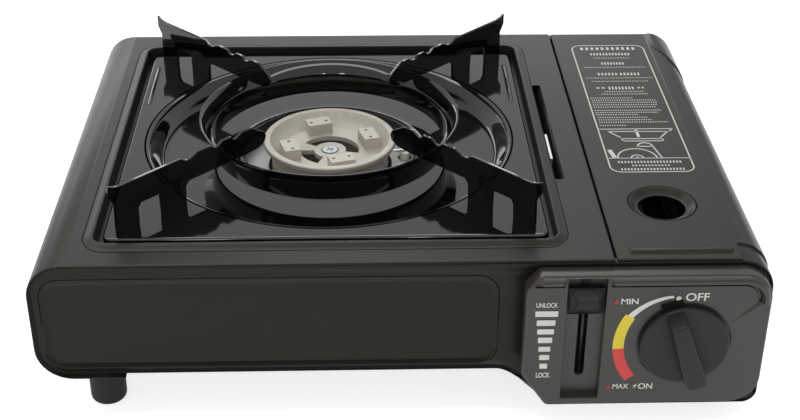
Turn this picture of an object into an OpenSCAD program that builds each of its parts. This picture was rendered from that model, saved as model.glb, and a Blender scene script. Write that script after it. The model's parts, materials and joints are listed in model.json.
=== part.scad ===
// Butane cassette stove, in millimetres.
// The origin is at the centre of the footprint, on the table. The front faces -Y and Z is up.

/* [Casing] */
// Overall width of the casing
casing_w = 343; // [335:1:360]
// Depth of the casing from the front rim to the back rim
casing_d = 256; // [252:1:290]
// Height of the top plate above the table
casing_h = 88.5; // [88:0.5:96]
// Thickness of the painted steel sheets
sheet_t = 0.8; // [0.6:0.1:1]
// Outer radius of the bends along the top and the left side
bend_r = 17; // [12:1:20]
// Outer radius of the lower right corner
low_bend_r = 8; // [7:0.5:10]
// Height of the underside of the burner side
burner_floor_z = 25.5; // [22:0.5:28]
// Height of the underside of the cartridge side
bay_floor_z = 5.5; // [4.5:0.5:6]
// Width of the deep cartridge side at its underside
bay_w = 103.5; // [100:0.5:108]
// How far the front and back panels reach into the casing
flange_d = 5; // [4:0.5:7]
// How far a panel's rim stands in front of its face
rim_d = 1; // [0.8:0.1:1.5]
// Gap between two sheets that lie on each other
fit_gap = 0.15; // [0.1:0.05:0.3]
// Length of the casing's bottom flange past its bend
bottom_flange_w = 24; // [22:1:32]

/* [Tray well] */
// Distance of the burner from the middle of the casing, to the left
burner_left = 35.2; // [34:0.1:38]
// Distance of the burner from the front rim
burner_from_front = 130.6; // [128:0.2:136]
// Side of the square drip tray
tray_w = 209.4; // [208:0.2:211]
// Gap at the tray's left and right sides
tray_side_gap = 3.2; // [2:0.1:3.5]
// Gap in front of the tray
tray_front_gap = 7.4; // [4:0.2:8]
// Gap behind the tray
tray_back_gap = 1.4; // [1.2:0.1:3]
// Corner radius of the tray well
well_r = 6; // [4:1:10]
// Depth of the ledge that the tray stands on
ledge_depth = 6.5; // [6:0.5:8]
// Width of that ledge
ledge_w = 8; // [6:0.5:9]
// Width of the raised bead round the well
bead_w = 4.8; // [3.5:0.1:5]
// Width of its front stretch
bead_front_w = 6.4; // [4:0.2:7]
// Height of the raised bead
bead_h = 1.2; // [0.6:0.1:1.4]
// Width of the vent slot in the top plate
vent_w = 4.6; // [4.4:0.1:6]
// Length of the vent slot
vent_l = 108.5; // [80:0.5:120]
// Distance of the vent slot from the lid's seam
vent_from_seam = 15.9; // [13:0.1:18]
// Distance of the vent slot from the front rim
vent_from_front = 75.5; // [60:0.5:90]

/* [Front panel] */
// Left end of the pressed field, from the casing's left side
field_left = 5.5; // [5:0.5:12]
// Gap between the pressed field and the control panel
field_gap = 11.8; // [9:0.1:30]
// Height of the lower edge of the pressed field
field_z = 30.4; // [30:0.1:34]
// Height of the pressed field itself
field_h = 49.6; // [30:0.1:50]
// Depth of the pressed field
field_depth = 2; // [1:0.2:3]
// Corner radius of the pressed field
field_r = 10; // [4:1:12]

/* [Lid] */
// Width of the lid from the seam to the casing's right side
lid_w = 75.3; // [75:0.1:82]
// Gap along the lid's seam
seam_gap = 0.6; // [0.4:0.1:1]
// Gap at the lid's front and back edges
lid_end_gap = 0.5; // [0.3:0.1:1]
// Width of the ledge under the lid's edge
lid_ledge_w = 4; // [3:0.5:6]
// Height of the lid's lower edge
lid_bottom_z = 18; // [17:0.5:22]
// Distance of the hinge axis from the casing's right side
hinge_in = 6; // [5.6:0.1:6.4]
// Height of the hinge axis
hinge_z = 12; // [11.6:0.1:12.4]
// Radius of the hinge pins
hinge_pin_r = 2; // [1.6:0.1:2.4]
// Radial clearance of the hinge pins
hinge_fit = 0.05; // [0.02:0.01:0.08]
// Radius of the round end of each hinge ear
ear_r = 4.5; // [4:0.1:4.6]
// Height of each hinge ear above the hinge axis
ear_h = 26; // [20:1:34]
// Radius of the dish round the finger hole
dish_r = 15.6; // [14:0.2:18]
// Radius of the finger hole
finger_r = 11.4; // [10:0.2:12]
// Depth of the dish
dish_depth = 2.6; // [1.6:0.2:3.2]
// Distance of the finger hole from the seam
finger_from_seam = 30.7; // [26:0.1:36]
// Distance of the finger hole from the front rim
finger_from_front = 51.3; // [46:0.1:60]

/* [Control panel] */
// How far the control panel stands in front of the casing
panel_proud = 8; // [7:0.5:9]
// Distance of the control panel's left edge from the casing's right side
panel_w = 116; // [114:0.5:119]
// Gap between the control panel and the casing's right side
panel_right_gap = 3; // [2.5:0.5:5]
// Height of the control panel's lower edge
panel_z = 12.5; // [10:0.5:14]
// Height of the control panel
panel_h = 72.5; // [71:0.5:73.5]
// Corner radius at the right end
panel_r = 14; // [10:1:16]
// Wall thickness of the control panel
panel_t = 1.8; // [1.4:0.1:2.2]
// Height of the brow above the panel's face
brow_proud = 1; // [0.6:0.1:1.4]
// Height of the brow itself
brow_h = 4; // [3:0.5:4.5]
// Distance of the middle of the lever channel from the casing's right side
lever_in = 88.4; // [87:0.1:89.5]
// Width of the lever channel
channel_w = 18.2; // [18:0.1:20]
// Height of the lower end of the lever channel
channel_z = 15.5; // [15:0.5:17]
// Width of the slot for the lever's stem
stem_slot_w = 4.6; // [4.5:0.1:5.5]
// Radius of the holes in the screw bosses
boss_hole_r = 1.5; // [1.3:0.1:1.7]
// Outer radius of the screw bosses
boss_r = 3.4; // [3:0.1:4]

/* [Knob] */
// Distance of the knob's axis from the casing's right side
knob_in = 41.5; // [40:0.5:43]
// Height of the knob's axis
knob_z = 47.5; // [46.5:0.5:48.5]
// Radius of the knob's disc
knob_r = 21; // [18:0.5:23]
// Height of the disc above the panel
knob_disc_h = 3; // [2:0.5:4]
// Height of the whole knob above the panel's brow
knob_proud = 12; // [9:0.5:14]
// Width of the grip bar
grip_w = 8.6; // [7:0.2:11]
// Gap between the knob and the panel
knob_gap = 0.6; // [0.4:0.1:1]
// Direction of the pointer at rest, turned anticlockwise from straight up
knob_rest_deg = 19; // [0:1:30]
// Radius of the knob's hub
hub_r = 7; // [6.2:0.2:8]
// Radius of the valve spindle
spindle_r = 3; // [2.5:0.1:3.2]
// Radial clearance of the spindle in the valve
spindle_fit = 0.05; // [0.02:0.01:0.08]

/* [Lock lever] */
// Travel of the lock lever
lever_travel = 38; // [36:0.5:40]
// Height of the top of the lever at rest
lever_top_z = 83.5; // [82:0.5:84]
// Height of the lever's stem and slab
lever_h = 20; // [17:0.5:21]
// How far the lever's grip stands in front of the panel's face
lever_proud = 6; // [3:0.5:7]
// Thickness of the lever's slab
lever_t = 3.3; // [2.5:0.1:3.5]
// Side clearance of the lever in its channel
lever_gap = 0.4; // [0.35:0.05:0.7]
// Clearance of the lever's stem in its slot
stem_gap = 0.35; // [0.3:0.05:0.5]
// Thickness of the steel lever plate
lever_plate_t = 1.6; // [1.2:0.1:2]
// Radius of the cam pin
cam_pin_r = 2; // [1.6:0.1:2.4]
// Gap of the cam pin in the slanted slot
cam_gap = 0.35; // [0.32:0.01:0.5]

/* [Cartridge] */
// Radius of the gas cartridge that the bay takes
cartridge_r = 34; // [33.5:0.1:34.5]
// Distance of the cartridge's shoulder from the front rim when it is locked
shoulder_from_front = 50; // [49:0.5:54]
// Length of the gas cartridge's body
cartridge_l = 186; // [182:1:187]
// Stroke of the carriage that pushes the cartridge forwards
carriage_stroke = 8; // [6:0.5:9]
// Thickness of the carriage's steel
carriage_t = 1.2; // [1:0.1:1.5]
// Width of the carriage's strip
carriage_w = 24; // [18:1:28]
// Running gap round the carriage's strip
slide_gap = 0.35; // [0.3:0.05:0.5]
// Width of the pusher plate behind the cartridge
pusher_w = 36; // [28:1:44]
// Height of the top of the pusher plate
pusher_top_z = 60; // [45:1:66]
// Thickness of the cradle plates
cradle_t = 1.2; // [1:0.1:1.6]
// Width of the cradle plates
cradle_w = 48; // [44:1:54]
// Distance of the front cradle from the front rim
cradle_front_from_front = 74; // [72:1:80]
// Distance of the rear cradle from the front rim
cradle_rear_from_front = 210; // [190:1:215]

/* [Pan support] */
// Depth of the tray's margin below the top plate
tray_top_depth = 2; // [1.5:0.1:3]
// Radius of the tray's round basin
basin_r = 95.5; // [93:0.1:96]
// Depth of the basin below the tray's margin
basin_depth = 10; // [7:0.5:10.5]
// Radius of the hole in the middle of the tray
tray_hole_r = 45.8; // [45:0.1:47]
// Height of the collar round that hole above the basin
collar_h = 2.4; // [1:0.1:3]
// Thickness of the enamelled tray
tray_t = 0.8; // [0.6:0.1:1]
// Radius of the support ring's upper edge
ring_r = 68; // [66:0.5:70]
// Height of the support ring's upper edge above the tray's margin
ring_top = 12.3; // [11.8:0.1:13]
// Total height of the support ring
ring_h = 16.8; // [14:0.2:18]
// Thickness of the support ring
ring_t = 1.2; // [1:0.1:1.5]
// Thickness of the support arms
arm_t = 1.5; // [1.2:0.1:2]
// Distance of the arms' outer tips from the burner's axis
arm_reach = 142; // [140:0.5:144]
// Height of the arms' upper edge above the tray's margin
arm_top = 23.9; // [23:0.1:26]
// Height of the outer tip above the arm's upper edge
tip_h = 2.2; // [1:0.1:3]
// Distance of the arms' inner ends from the burner's axis
arm_inner = 44.8; // [44:0.1:48]
// Width of the tabs that pass through the tray
tab_w = 6; // [4:0.5:8]
// Length of the tabs
tab_l = 1.6; // [1.2:0.1:2]

/* [Burner] */
// Height of the burner's rim above the table
burner_top_z = 84.5; // [83:0.5:85.5]
// Radius of the burner's rim
burner_r = 35; // [33:0.5:36]
// Radius of the burner's skirt
skirt_r = 31; // [30:0.2:31.4]
// Depth of the bowl inside the rim
bowl_depth = 7.5; // [6:0.1:8]
// Height of the burner head
head_h = 18; // [17:0.5:19]
// Number of flame ports round the skirt
ports = 24; // [16:1:30]
// Radius of each flame port
port_r = 1.1; // [0.8:0.1:1.3]
// Radius of the burner's lower cup
cup_r = 30; // [28.5:0.5:30.5]
// Height of the burner's lower cup
cup_h = 30; // [29:0.5:31]
// Wall thickness of the cup
cup_t = 2.5; // [2:0.1:3]
// Outer radius of the mixing tube
mix_r = 8; // [7:0.1:8.5]
// Wall thickness of the mixing tube
mix_t = 1.2; // [0.8:0.1:1.6]
// Radius of the mixing tube's bend, at its middle
mix_bend_r = 30; // [24:1:34]
// Radius of the mixing tube's bell
bell_r = 11; // [9.5:0.1:11.5]
// Height of the zinc-plated reflector plate
reflector_z = 68; // [67:0.2:68.6]
// Side of the reflector plate
reflector_w = 125; // [118:1:130]
// Width of the heat plate
heat_plate_w = 27; // [20:1:29]

/* [Gas valve and igniter] */
// Radius of the valve's body
valve_r = 17; // [16:0.5:18]
// Radius of the rear neck that the cartridge docks on
neck_r = 10; // [9:0.2:10.5]
// Radius of the docking socket
socket_r = 4.5; // [4:0.1:5]
// Depth of the docking socket
socket_depth = 6.2; // [5:0.2:7]
// Distance of the gas pipe from the front rim
pipe_from_front = 38; // [38:0.1:38.4]
// Outer radius of the gas pipe
pipe_r = 3; // [2.4:0.1:3.2]
// Radius of the piezo igniter
piezo_r = 5.5; // [5:0.1:6]
// Length of the piezo igniter
piezo_l = 27; // [24:0.5:28]
// Radius of the ignition lead
lead_r = 1.3; // [1:0.1:1.6]
// Distance of the spark electrode from the burner's axis
electrode_out = 40.5; // [40:0.1:41.5]
// Radius of the electrode's ceramic sleeve
ceramic_r = 2.8; // [2.4:0.1:3]

/* [Feet and screws] */
// Radius of the feet
foot_r = 8.7; // [8:0.1:9.5]
// Distance of the left feet from the casing's left side
foot_in_left = 28; // [27:0.5:30]
// Distance of the right feet from the casing's right side
foot_in_right = 22; // [21:0.5:26]
// Distance of the feet from the front and back rims
foot_from_rim = 20; // [18:0.5:26]
// Radius of the screw shanks
screw_r = 1.45; // [1.2:0.05:1.6]
// Radius of the screw heads
screw_head_r = 2.9; // [2.5:0.1:3.3]
// Height of the screw heads
screw_head_h = 1.6; // [1.2:0.1:2]
// Gap between a screw and its hole
screw_gap = 0.1; // [0.05:0.05:0.2]

/* [Hidden] */
$fn = 64;
eps = 0.02;

// Places that several pieces share
left_x = -casing_w/2;
right_x = casing_w/2;
total_d = casing_d + panel_proud + knob_proud;
front_y = -total_d/2 + panel_proud + knob_proud;
back_y = front_y + casing_d;
seam_x = right_x - lid_w;
step_x = right_x - bay_w;
step_run = burner_floor_z - bay_floor_z;
slant = tan(22.5);
sheet_in = sheet_t + fit_gap;
burner_x = -burner_left;
burner_y = front_y + burner_from_front;
knob_x = right_x - knob_in;
hinge_x = right_x - hinge_in;
base_left_z = burner_floor_z + sheet_in + sheet_t;
base_bay_z = bay_floor_z + sheet_in + sheet_t;
base_under_z = bay_floor_z + sheet_in;
inner_top_z = casing_h - sheet_t;
plate_y = front_y + rim_d + sheet_t;
rear_plate_y = back_y - rim_d - sheet_t;
base_y0 = front_y + flange_d + fit_gap;
base_y1 = back_y - flange_d - fit_gap;

// Two-dimensional helpers
module round_rect(x0, y0, x1, y1, r) {
    translate([x0 + r, y0]) square([x1 - x0 - 2*r, y1 - y0]);
    translate([x0, y0 + r]) square([x1 - x0, y1 - y0 - 2*r]);
    for (x = [x0 + r, x1 - r], y = [y0 + r, y1 - r]) translate([x, y]) circle(r = r);
}

module box_2d(x0, y0, x1, y1) {
    translate([x0, y0]) square([x1 - x0, y1 - y0]);
}

// Extrusions of an (x, z) outline along Y, of a (y, z) outline along X, and of (x, y) along Z
module along_y(y0, y1) {
    translate([0, y1, 0]) rotate([90, 0, 0]) linear_extrude(height = y1 - y0) children();
}

module along_x(x0, x1) {
    translate([x0, 0, 0]) rotate([90, 0, 90]) linear_extrude(height = x1 - x0) children();
}

module along_z(z0, z1) {
    translate([0, 0, z0]) linear_extrude(height = z1 - z0) children();
}

module rod_y(x, z, y0, y1, r) {
    translate([x, y0, z]) rotate([-90, 0, 0]) cylinder(h = y1 - y0, r = r);
}

module rod_x(y, z, x0, x1, r) {
    translate([x0, y, z]) rotate([0, 90, 0]) cylinder(h = x1 - x0, r = r);
}

module rod_z(x, y, z0, z1, r) {
    translate([x, y, z0]) cylinder(h = z1 - z0, r = r);
}

module block(x0, y0, z0, x1, y1, z1) {
    translate([x0, y0, z0]) cube([x1 - x0, y1 - y0, z1 - z0]);
}

// The casing seen from the front, drawn in by i all round
module casing_outline(i) {
    round_rect(left_x + i, burner_floor_z + i, right_x - i, casing_h - i, bend_r - i);
    box_2d(step_x, bay_floor_z + low_bend_r, right_x - i, casing_h - bend_r);
    box_2d(step_x + slant*i, bay_floor_z + i, right_x - low_bend_r, bay_floor_z + low_bend_r);
    translate([right_x - low_bend_r, bay_floor_z + low_bend_r]) circle(r = low_bend_r - i);
    polygon([[step_x - step_run + slant*i, burner_floor_z + i], [step_x + slant*i, bay_floor_z + i],
        [step_x + bend_r, bay_floor_z + i], [step_x + bend_r, burner_floor_z + bend_r],
        [step_x - step_run + slant*i, burner_floor_z + bend_r]]);
}

module casing_sheet() {
    difference() {
        casing_outline(0);
        casing_outline(sheet_t);
    }
}

// ---- Casing ----
well_x0 = burner_x - tray_w/2 - tray_side_gap;
well_x1 = burner_x + tray_w/2 + tray_side_gap;
well_y0 = burner_y - tray_w/2 - tray_front_gap;
well_y1 = burner_y + tray_w/2 + tray_back_gap;
ledge_z = casing_h - ledge_depth;
flange_x = left_x + bend_r + bottom_flange_w;
vent_x = seam_x - vent_from_seam;
vent_y = front_y + vent_from_front;

// The tray well seen from above, larger by grow all round and by front more at the front
module well_2d(grow, front) {
    round_rect(well_x0 - grow, well_y0 - grow - front, well_x1 + grow, well_y1 + grow,
        max(well_r + grow, 1));
}

module well_frame(z0, z1, inner, outer, front) {
    along_z(z0, z1) difference() {
        well_2d(outer, front);
        well_2d(inner, 0);
    }
}

// One painted sheet: the top plate with its tray well, the left side and a bottom flange
module body_shell() {
    color([0.2, 0.2, 0.19]) difference() {
        union() {
            along_y(front_y, back_y) intersection() {
                casing_sheet();
                union() {
                    box_2d(left_x, burner_floor_z, flange_x, casing_h);
                    box_2d(left_x, casing_h/2, seam_x, casing_h);
                }
            }
            along_y(base_y0, base_y1) {
                box_2d(seam_x - sheet_t, casing_h - 2*sheet_in, seam_x, casing_h - eps);
                box_2d(seam_x - sheet_t, casing_h - 2*sheet_in, seam_x + lid_ledge_w,
                    casing_h - sheet_in);
            }
            well_frame(casing_h - sheet_t, casing_h + bead_h, 0, bead_w, bead_front_w - bead_w);
            well_frame(ledge_z - sheet_t, casing_h, 0, sheet_t, 0);
            well_frame(ledge_z - sheet_t, ledge_z, -ledge_w, sheet_t, 0);
        }
        well_frame(casing_h - 2*sheet_t, casing_h + bead_h - sheet_t, sheet_t, bead_w - sheet_t,
            bead_front_w - bead_w);
        along_z(ledge_z, casing_h + 2*bead_h) well_2d(0, 0);
        along_z(inner_top_z - 1, casing_h + 1)
            round_rect(vent_x - vent_w/2, vent_y, vent_x + vent_w/2, vent_y + vent_l, vent_w/3);
        for (y = casing_screw_y) rod_z(casing_screw_x, y, burner_floor_z - 1, base_left_z + 1,
            screw_r + screw_gap);
        for (y = [foot_front_y, foot_rear_y]) rod_z(foot_left_x, y, burner_floor_z - 1,
            base_left_z + 1, screw_r + screw_gap);
    }
}

module field_2d(inset) {
    round_rect(left_x + field_left + inset, field_z + inset,
        right_x - panel_w - field_gap - inset, field_z + field_h - inset, field_r - inset);
}

// A panel that closes one end of the casing, drawn for the front end
module end_panel_blank() {
    along_y(front_y, front_y + flange_d) difference() {
        casing_outline(sheet_in);
        casing_outline(sheet_in + sheet_t);
    }
    along_y(front_y + rim_d, plate_y) casing_outline(sheet_in);
}

channel_wall = 1.5;
lever_x = right_x - lever_in;
pillar_w = panel_w - lever_in - channel_w/2 - channel_wall;
stem_hole_w = stem_slot_w + 3;

// Pressed steel front with a long shallow field
module front_panel() {
    color([0.17, 0.17, 0.16]) difference() {
        union() {
            difference() {
                end_panel_blank();
                along_y(front_y, plate_y + 1) field_2d(0);
            }
            along_y(front_y + rim_d, plate_y + field_depth) difference() {
                field_2d(-eps);
                field_2d(sheet_t);
            }
            along_y(plate_y + field_depth - sheet_t, plate_y + field_depth) field_2d(0);
        }
        rod_y(knob_x, knob_z, front_y - 1, plate_y + 1, valve_neck_r + 0.2);
        along_y(front_y - 1, plate_y + 1)
            box_2d(lever_x - stem_hole_w/2, channel_z + 4, lever_x + stem_hole_w/2, lever_top_z);
        rod_y(hinge_x, hinge_z, front_y - 1, plate_y + 1, hinge_pin_r + hinge_fit);
        for (p = panel_screw_at) rod_y(p[0], p[1], front_y - 1, plate_y + 1, screw_r + screw_gap);
        for (x = valve_screw_x) rod_y(x, knob_z, front_y - 1, plate_y + 1, screw_r + screw_gap);
    }
}

rear_vents = 9;
rear_vent_pitch = 14;
rear_vent_h = 26;
rear_vent_w = 3.6;

// Pressed steel back with a row of upright vents
module rear_panel() {
    color([0.17, 0.17, 0.16]) difference() {
        translate([0, front_y + back_y, 0]) mirror([0, 1, 0]) end_panel_blank();
        along_y(rear_plate_y - 1, back_y + 1) for (k = [0:rear_vents - 1])
            translate([burner_x + (k - (rear_vents - 1)/2)*rear_vent_pitch, casing_h/2])
                round_rect(-rear_vent_w/2, 0, rear_vent_w/2, rear_vent_h, rear_vent_w/2 - eps);
        rod_y(hinge_x, hinge_z, rear_plate_y - 1, back_y + 1, hinge_pin_r + hinge_fit);
        for (p = rear_screw_at) rod_y(p[0], p[1], rear_plate_y - 1, back_y + 1,
            screw_r + screw_gap);
    }
}

base_left_x = left_x + bend_r;
base_right_x = hinge_x - ear_r - 1;
base_lip_h = 4.5;
tab_rise = 10;
rear_screw_at = [[left_x + 30, base_left_z + tab_rise], [step_x - step_run - 25, base_left_z + tab_rise],
    [right_x - 25, base_bay_z + tab_rise]];
floor_vents = 4;
floor_vent_pitch = 16;
floor_vent_l = 60;

// Upturned tab that a rear screw is driven into
module rear_tab(x, z) {
    y1 = rear_plate_y - fit_gap;
    block(x - 6, base_y1 - 5, z, x + 6, y1, z + sheet_t);
    block(x - 6, y1 - sheet_t, z, x + 6, y1, z + tab_rise + 5);
}

// One bent sheet: the burner side's floor, the sloping step and the cartridge side's floor
module base_plate() {
    color([0.25, 0.25, 0.24]) difference() {
        union() {
            along_y(base_y0, base_y1) {
                intersection() {
                    difference() {
                        casing_outline(sheet_in);
                        casing_outline(sheet_in + sheet_t);
                    }
                    union() {
                        box_2d(base_left_x, burner_floor_z, step_x, base_left_z);
                        box_2d(step_x - step_run, bay_floor_z, base_right_x,
                            burner_floor_z + sheet_in);
                    }
                }
                box_2d(base_right_x - sheet_t, base_under_z, base_right_x,
                    base_bay_z + base_lip_h);
            }
            for (p = rear_screw_at) rear_tab(p[0], p[1] - tab_rise);
        }
        for (p = rear_screw_at) rod_y(p[0], p[1], base_y1, back_y, screw_r + screw_gap);
        along_z(base_left_z - 2*sheet_t, base_left_z + 1) for (k = [0:floor_vents - 1])
            translate([burner_x + (k - (floor_vents - 1)/2)*floor_vent_pitch, burner_y])
                round_rect(-1.8, -floor_vent_l/2, 1.8, floor_vent_l/2, 1.7);
        for (y = casing_screw_y) rod_z(casing_screw_x, y, burner_floor_z, base_left_z + 1,
            screw_r + screw_gap);
        for (y = [foot_front_y, foot_rear_y]) {
            rod_z(foot_left_x, y, burner_floor_z, base_left_z + 1, screw_r + screw_gap);
            rod_z(foot_right_x, y, bay_floor_z - 1, base_bay_z + 1, screw_r + screw_gap);
        }
        for (x = bracket_screw_x) rod_z(x, burner_y, burner_floor_z, base_left_z + 1,
            screw_r + screw_gap);
    }
}

partition_x = step_x + 3;
partition_flange = 5;
partition_top_z = ledge_z - sheet_t - fit_gap;
pipe_y = front_y + pipe_from_front;
pipe_z = knob_z;
pipe_hole_r = bell_r + 1;
grommet_y = front_y + 50;
grommet_z = 66;
grommet_r = 4;

// Upright wall between the burner and the cartridge
module bay_partition() {
    color([0.55, 0.55, 0.56]) difference() {
        along_y(base_y0, base_y1) {
            box_2d(partition_x - sheet_t, base_bay_z, partition_x, partition_top_z);
            box_2d(partition_x - eps, base_bay_z, partition_x + partition_flange,
                base_bay_z + sheet_t);
            box_2d(partition_x - eps, partition_top_z - sheet_t, partition_x + partition_flange,
                partition_top_z);
        }
        rod_x(pipe_y, pipe_z, partition_x - 2, partition_x + 2, pipe_hole_r);
        rod_x(grommet_y, grommet_z, partition_x - 2, partition_x + 2, grommet_r);
        block(partition_x - 2, heat_plate_y - heat_plate_w/2 - 1, reflector_z - sheet_t*3,
            partition_x + 2, heat_plate_y + heat_plate_w/2 + 1, reflector_z + 1);
    }
}

// ---- Lid ----
ear_front_y = front_y + flange_d + 1;
ear_rear_y = back_y - flange_d - 1 - sheet_t;
finger_x = seam_x + finger_from_seam;
finger_y = front_y + finger_from_front;
dish_floor = 1;
pin_head_r = hinge_pin_r + 1.4;
pin_head_h = 1;

module hinge_ear() {
    difference() {
        union() {
            translate([hinge_x, hinge_z]) circle(r = ear_r);
            polygon([[hinge_x - ear_r, hinge_z], [hinge_x - ear_r, hinge_z + 8],
                [right_x - sheet_t/2, hinge_z + ear_h], [right_x - sheet_t/2, lid_bottom_z],
                [hinge_x + ear_r, hinge_z]]);
        }
        translate([hinge_x, hinge_z]) circle(r = hinge_pin_r + hinge_fit);
    }
}

// Bent sheet over the cartridge, hinged along its lower right edge
module cartridge_lid() {
    color([0.22, 0.22, 0.21]) difference() {
        union() {
            along_y(front_y + lid_end_gap, back_y - lid_end_gap) intersection() {
                casing_sheet();
                box_2d(seam_x + seam_gap, lid_bottom_z, right_x, casing_h);
            }
            along_y(ear_front_y, ear_front_y + sheet_t) hinge_ear();
            along_y(ear_rear_y, ear_rear_y + sheet_t) hinge_ear();
            translate([finger_x, finger_y, 0]) rotate_extrude() polygon([
                [finger_r, casing_h - dish_depth], [finger_r + dish_floor, casing_h - dish_depth],
                [dish_r, casing_h], [dish_r + 1, casing_h], [dish_r + 1, inner_top_z],
                [dish_r, inner_top_z], [finger_r + dish_floor, inner_top_z - dish_depth],
                [finger_r, inner_top_z - dish_depth]]);
        }
        translate([finger_x, finger_y, 0]) rotate_extrude() polygon([
            [0, casing_h - dish_depth], [finger_r + dish_floor, casing_h - dish_depth],
            [dish_r, casing_h], [dish_r, casing_h + 1], [0, casing_h + 1]]);
        rod_z(finger_x, finger_y, casing_h - 2*dish_depth - 2, casing_h + 1, finger_r);
    }
}

module hinge_rivet(y_out, dir) {
    y_in = y_out + dir*(flange_d + sheet_t + 0.8);
    rod_y(hinge_x, hinge_z, min(y_out, y_in + dir*pin_head_h), max(y_out, y_in + dir*pin_head_h),
        hinge_pin_r);
    rod_y(hinge_x, hinge_z, min(y_out, y_out - dir*0.8), max(y_out, y_out - dir*0.8), pin_head_r);
    rod_y(hinge_x, hinge_z, min(y_in, y_in + dir*pin_head_h), max(y_in, y_in + dir*pin_head_h),
        pin_head_r);
}

// Two rivets that the lid turns on
module lid_hinge_pins() {
    color("silver") {
        hinge_rivet(front_y + rim_d, 1);
        hinge_rivet(back_y - rim_d, -1);
    }
}

// ---- Pan support, which lifts off in one piece ----
tray_top_z = casing_h - tray_top_depth;
basin_z = tray_top_z - basin_depth;
ring_top_z = tray_top_z + ring_top;
ring_wall_r = ring_r - 6;
collar_z = basin_z + collar_h;
tab_at = [basin_r + 9, arm_reach - 9];
tab_fit = 0.15;

function basin_edge(t) = [
    [basin_r, tray_top_z - t], [basin_r - 1.8, tray_top_z - 0.5 - t],
    [basin_r - 3.2, tray_top_z - 1.7 - t], [basin_r - 7, tray_top_z - 0.8*basin_depth - t],
    [basin_r - 8.6, basin_z + 0.6 - t], [basin_r - 11, basin_z - t],
    [tray_hole_r + 6, basin_z - t],
    [tray_hole_r + 3, collar_z - 0.6 - t], [tray_hole_r + 1.6, collar_z - t],
    [tray_hole_r, collar_z - t]];

function backwards(list) = [for (k = [len(list) - 1:-1:0]) list[k]];

// Enamelled square tray with a round basin and a hole for the burner
module drip_tray() {
    half = tray_w/2;
    color([0.08, 0.08, 0.08]) translate([burner_x, burner_y, 0]) difference() {
        union() {
            along_z(tray_top_z - tray_t, tray_top_z) difference() {
                round_rect(-half, -half, half, half, well_r - 2);
                circle(r = basin_r - eps);
            }
            along_z(ledge_z, tray_top_z) difference() {
                round_rect(-half, -half, half, half, well_r - 2);
                round_rect(-half + tray_t, -half + tray_t, half - tray_t, half - tray_t,
                    well_r - 2 - tray_t);
            }
            rotate_extrude() polygon(concat(basin_edge(0), backwards(basin_edge(tray_t))));
        }
        for (a = [45:90:315], r = tab_at) rotate([0, 0, a])
            block(r - tab_w/2 - tab_fit, -arm_t/2 - tab_fit, tray_top_z - 2, r + tab_w/2 + tab_fit,
                arm_t/2 + tab_fit, tray_top_z + 1);
    }
}

arm_low = 10.4;

// Pressed ring with a flared upper edge, slotted where it sits on the arms
module support_ring() {
    z_low = ring_top_z - ring_h;
    z_bend = ring_top_z - 6.8;
    color([0.1, 0.1, 0.1]) translate([burner_x, burner_y, 0]) difference() {
        rotate_extrude() polygon([
            [ring_r, ring_top_z], [ring_wall_r + ring_t*0.7, z_bend], [ring_wall_r - 1.5 + ring_t, z_low],
            [ring_wall_r - 1.5, z_low], [ring_wall_r - ring_t*0.3, z_bend + 0.6],
            [ring_r - ring_t*1.4, ring_top_z]]);
        for (a = [45:90:315]) rotate([0, 0, a])
            block(ring_wall_r - 8, -arm_t/2 - 0.1, tray_top_z + arm_low - 0.1, ring_r + 3,
                arm_t/2 + 0.1, ring_top_z + 1);
    }
}

// One upright arm seen from its side: distance from the burner's axis, height above the tray
module arm_outline() {
    n = 2;
    inner_leg = tab_at[0];
    outer_leg = tab_at[1];
    polygon([
        [arm_reach, arm_top + tip_h], [arm_reach - 3.5, arm_top + 0.6], [arm_reach - 6, arm_top],
        [99, arm_top], [96, arm_top - n], [93, arm_top - n], [88.5, arm_top], [80.5, arm_top],
        [78, arm_top - n], [76, arm_top - n], [73, arm_top], [67.5, arm_top], [66, arm_top - n],
        [64, arm_top - n], [60.5, arm_top], [54.5, arm_top], [arm_inner + 1.5, arm_top - 5],
        [arm_inner, arm_top - 7.5], [arm_inner + 1, arm_top - 10.5], [arm_inner + 5, arm_low + 0.8],
        [arm_inner + 14, arm_low], [outer_leg - 8, arm_low], [arm_reach - 3, arm_top - 8.5],
        [arm_reach, arm_top - 4]]);
    polygon([[inner_leg - 7, arm_low + 0.5], [inner_leg - 9.5, arm_low],
        [inner_leg - 7.3, arm_low - 2.2], [inner_leg - 7, 0], [inner_leg + 8.2, 0],
        [inner_leg + 8.6, arm_low + 0.5]]);
    polygon([[outer_leg - 9, arm_low + 2], [outer_leg - 9, arm_low], [outer_leg - 7.3, arm_low - 2.3],
        [outer_leg - 7, 0], [outer_leg + 6.4, 0], [outer_leg + 6, arm_top - 8.5]]);
    for (r = tab_at) box_2d(r - tab_w/2, -tab_l, r + tab_w/2, 1);
}

module support_arm(angle) {
    color([0.12, 0.12, 0.12]) translate([burner_x, burner_y, tray_top_z]) rotate([0, 0, angle])
        along_y(-arm_t/2, arm_t/2) arm_outline();
}

module support_arm_front_left() { support_arm(225); }
module support_arm_front_right() { support_arm(315); }
module support_arm_rear_left() { support_arm(135); }
module support_arm_rear_right() { support_arm(45); }

// ---- Burner ----
head_z = burner_top_z - head_h;
bowl_z = burner_top_z - bowl_depth;
cup_z = head_z - cup_h;
bowl_floor_t = 2.5;
block_turn = 17;
block_r0 = 17.5;
block_r1 = 26;
block_w = 13;
block_h = bowl_depth - 1;
screw_sink = 1.5;
centre_hole_r = 2.2;
bowl_r = burner_r - 3.2;

module sector(r0, r1, a0, a1) {
    far = 2*r1;
    intersection() {
        difference() {
            circle(r = r1);
            circle(r = r0);
        }
        polygon([[0, 0], for (k = [0:4]) far*[cos(a0 + (a1 - a0)*k/4), sin(a0 + (a1 - a0)*k/4)]]);
    }
}

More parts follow.
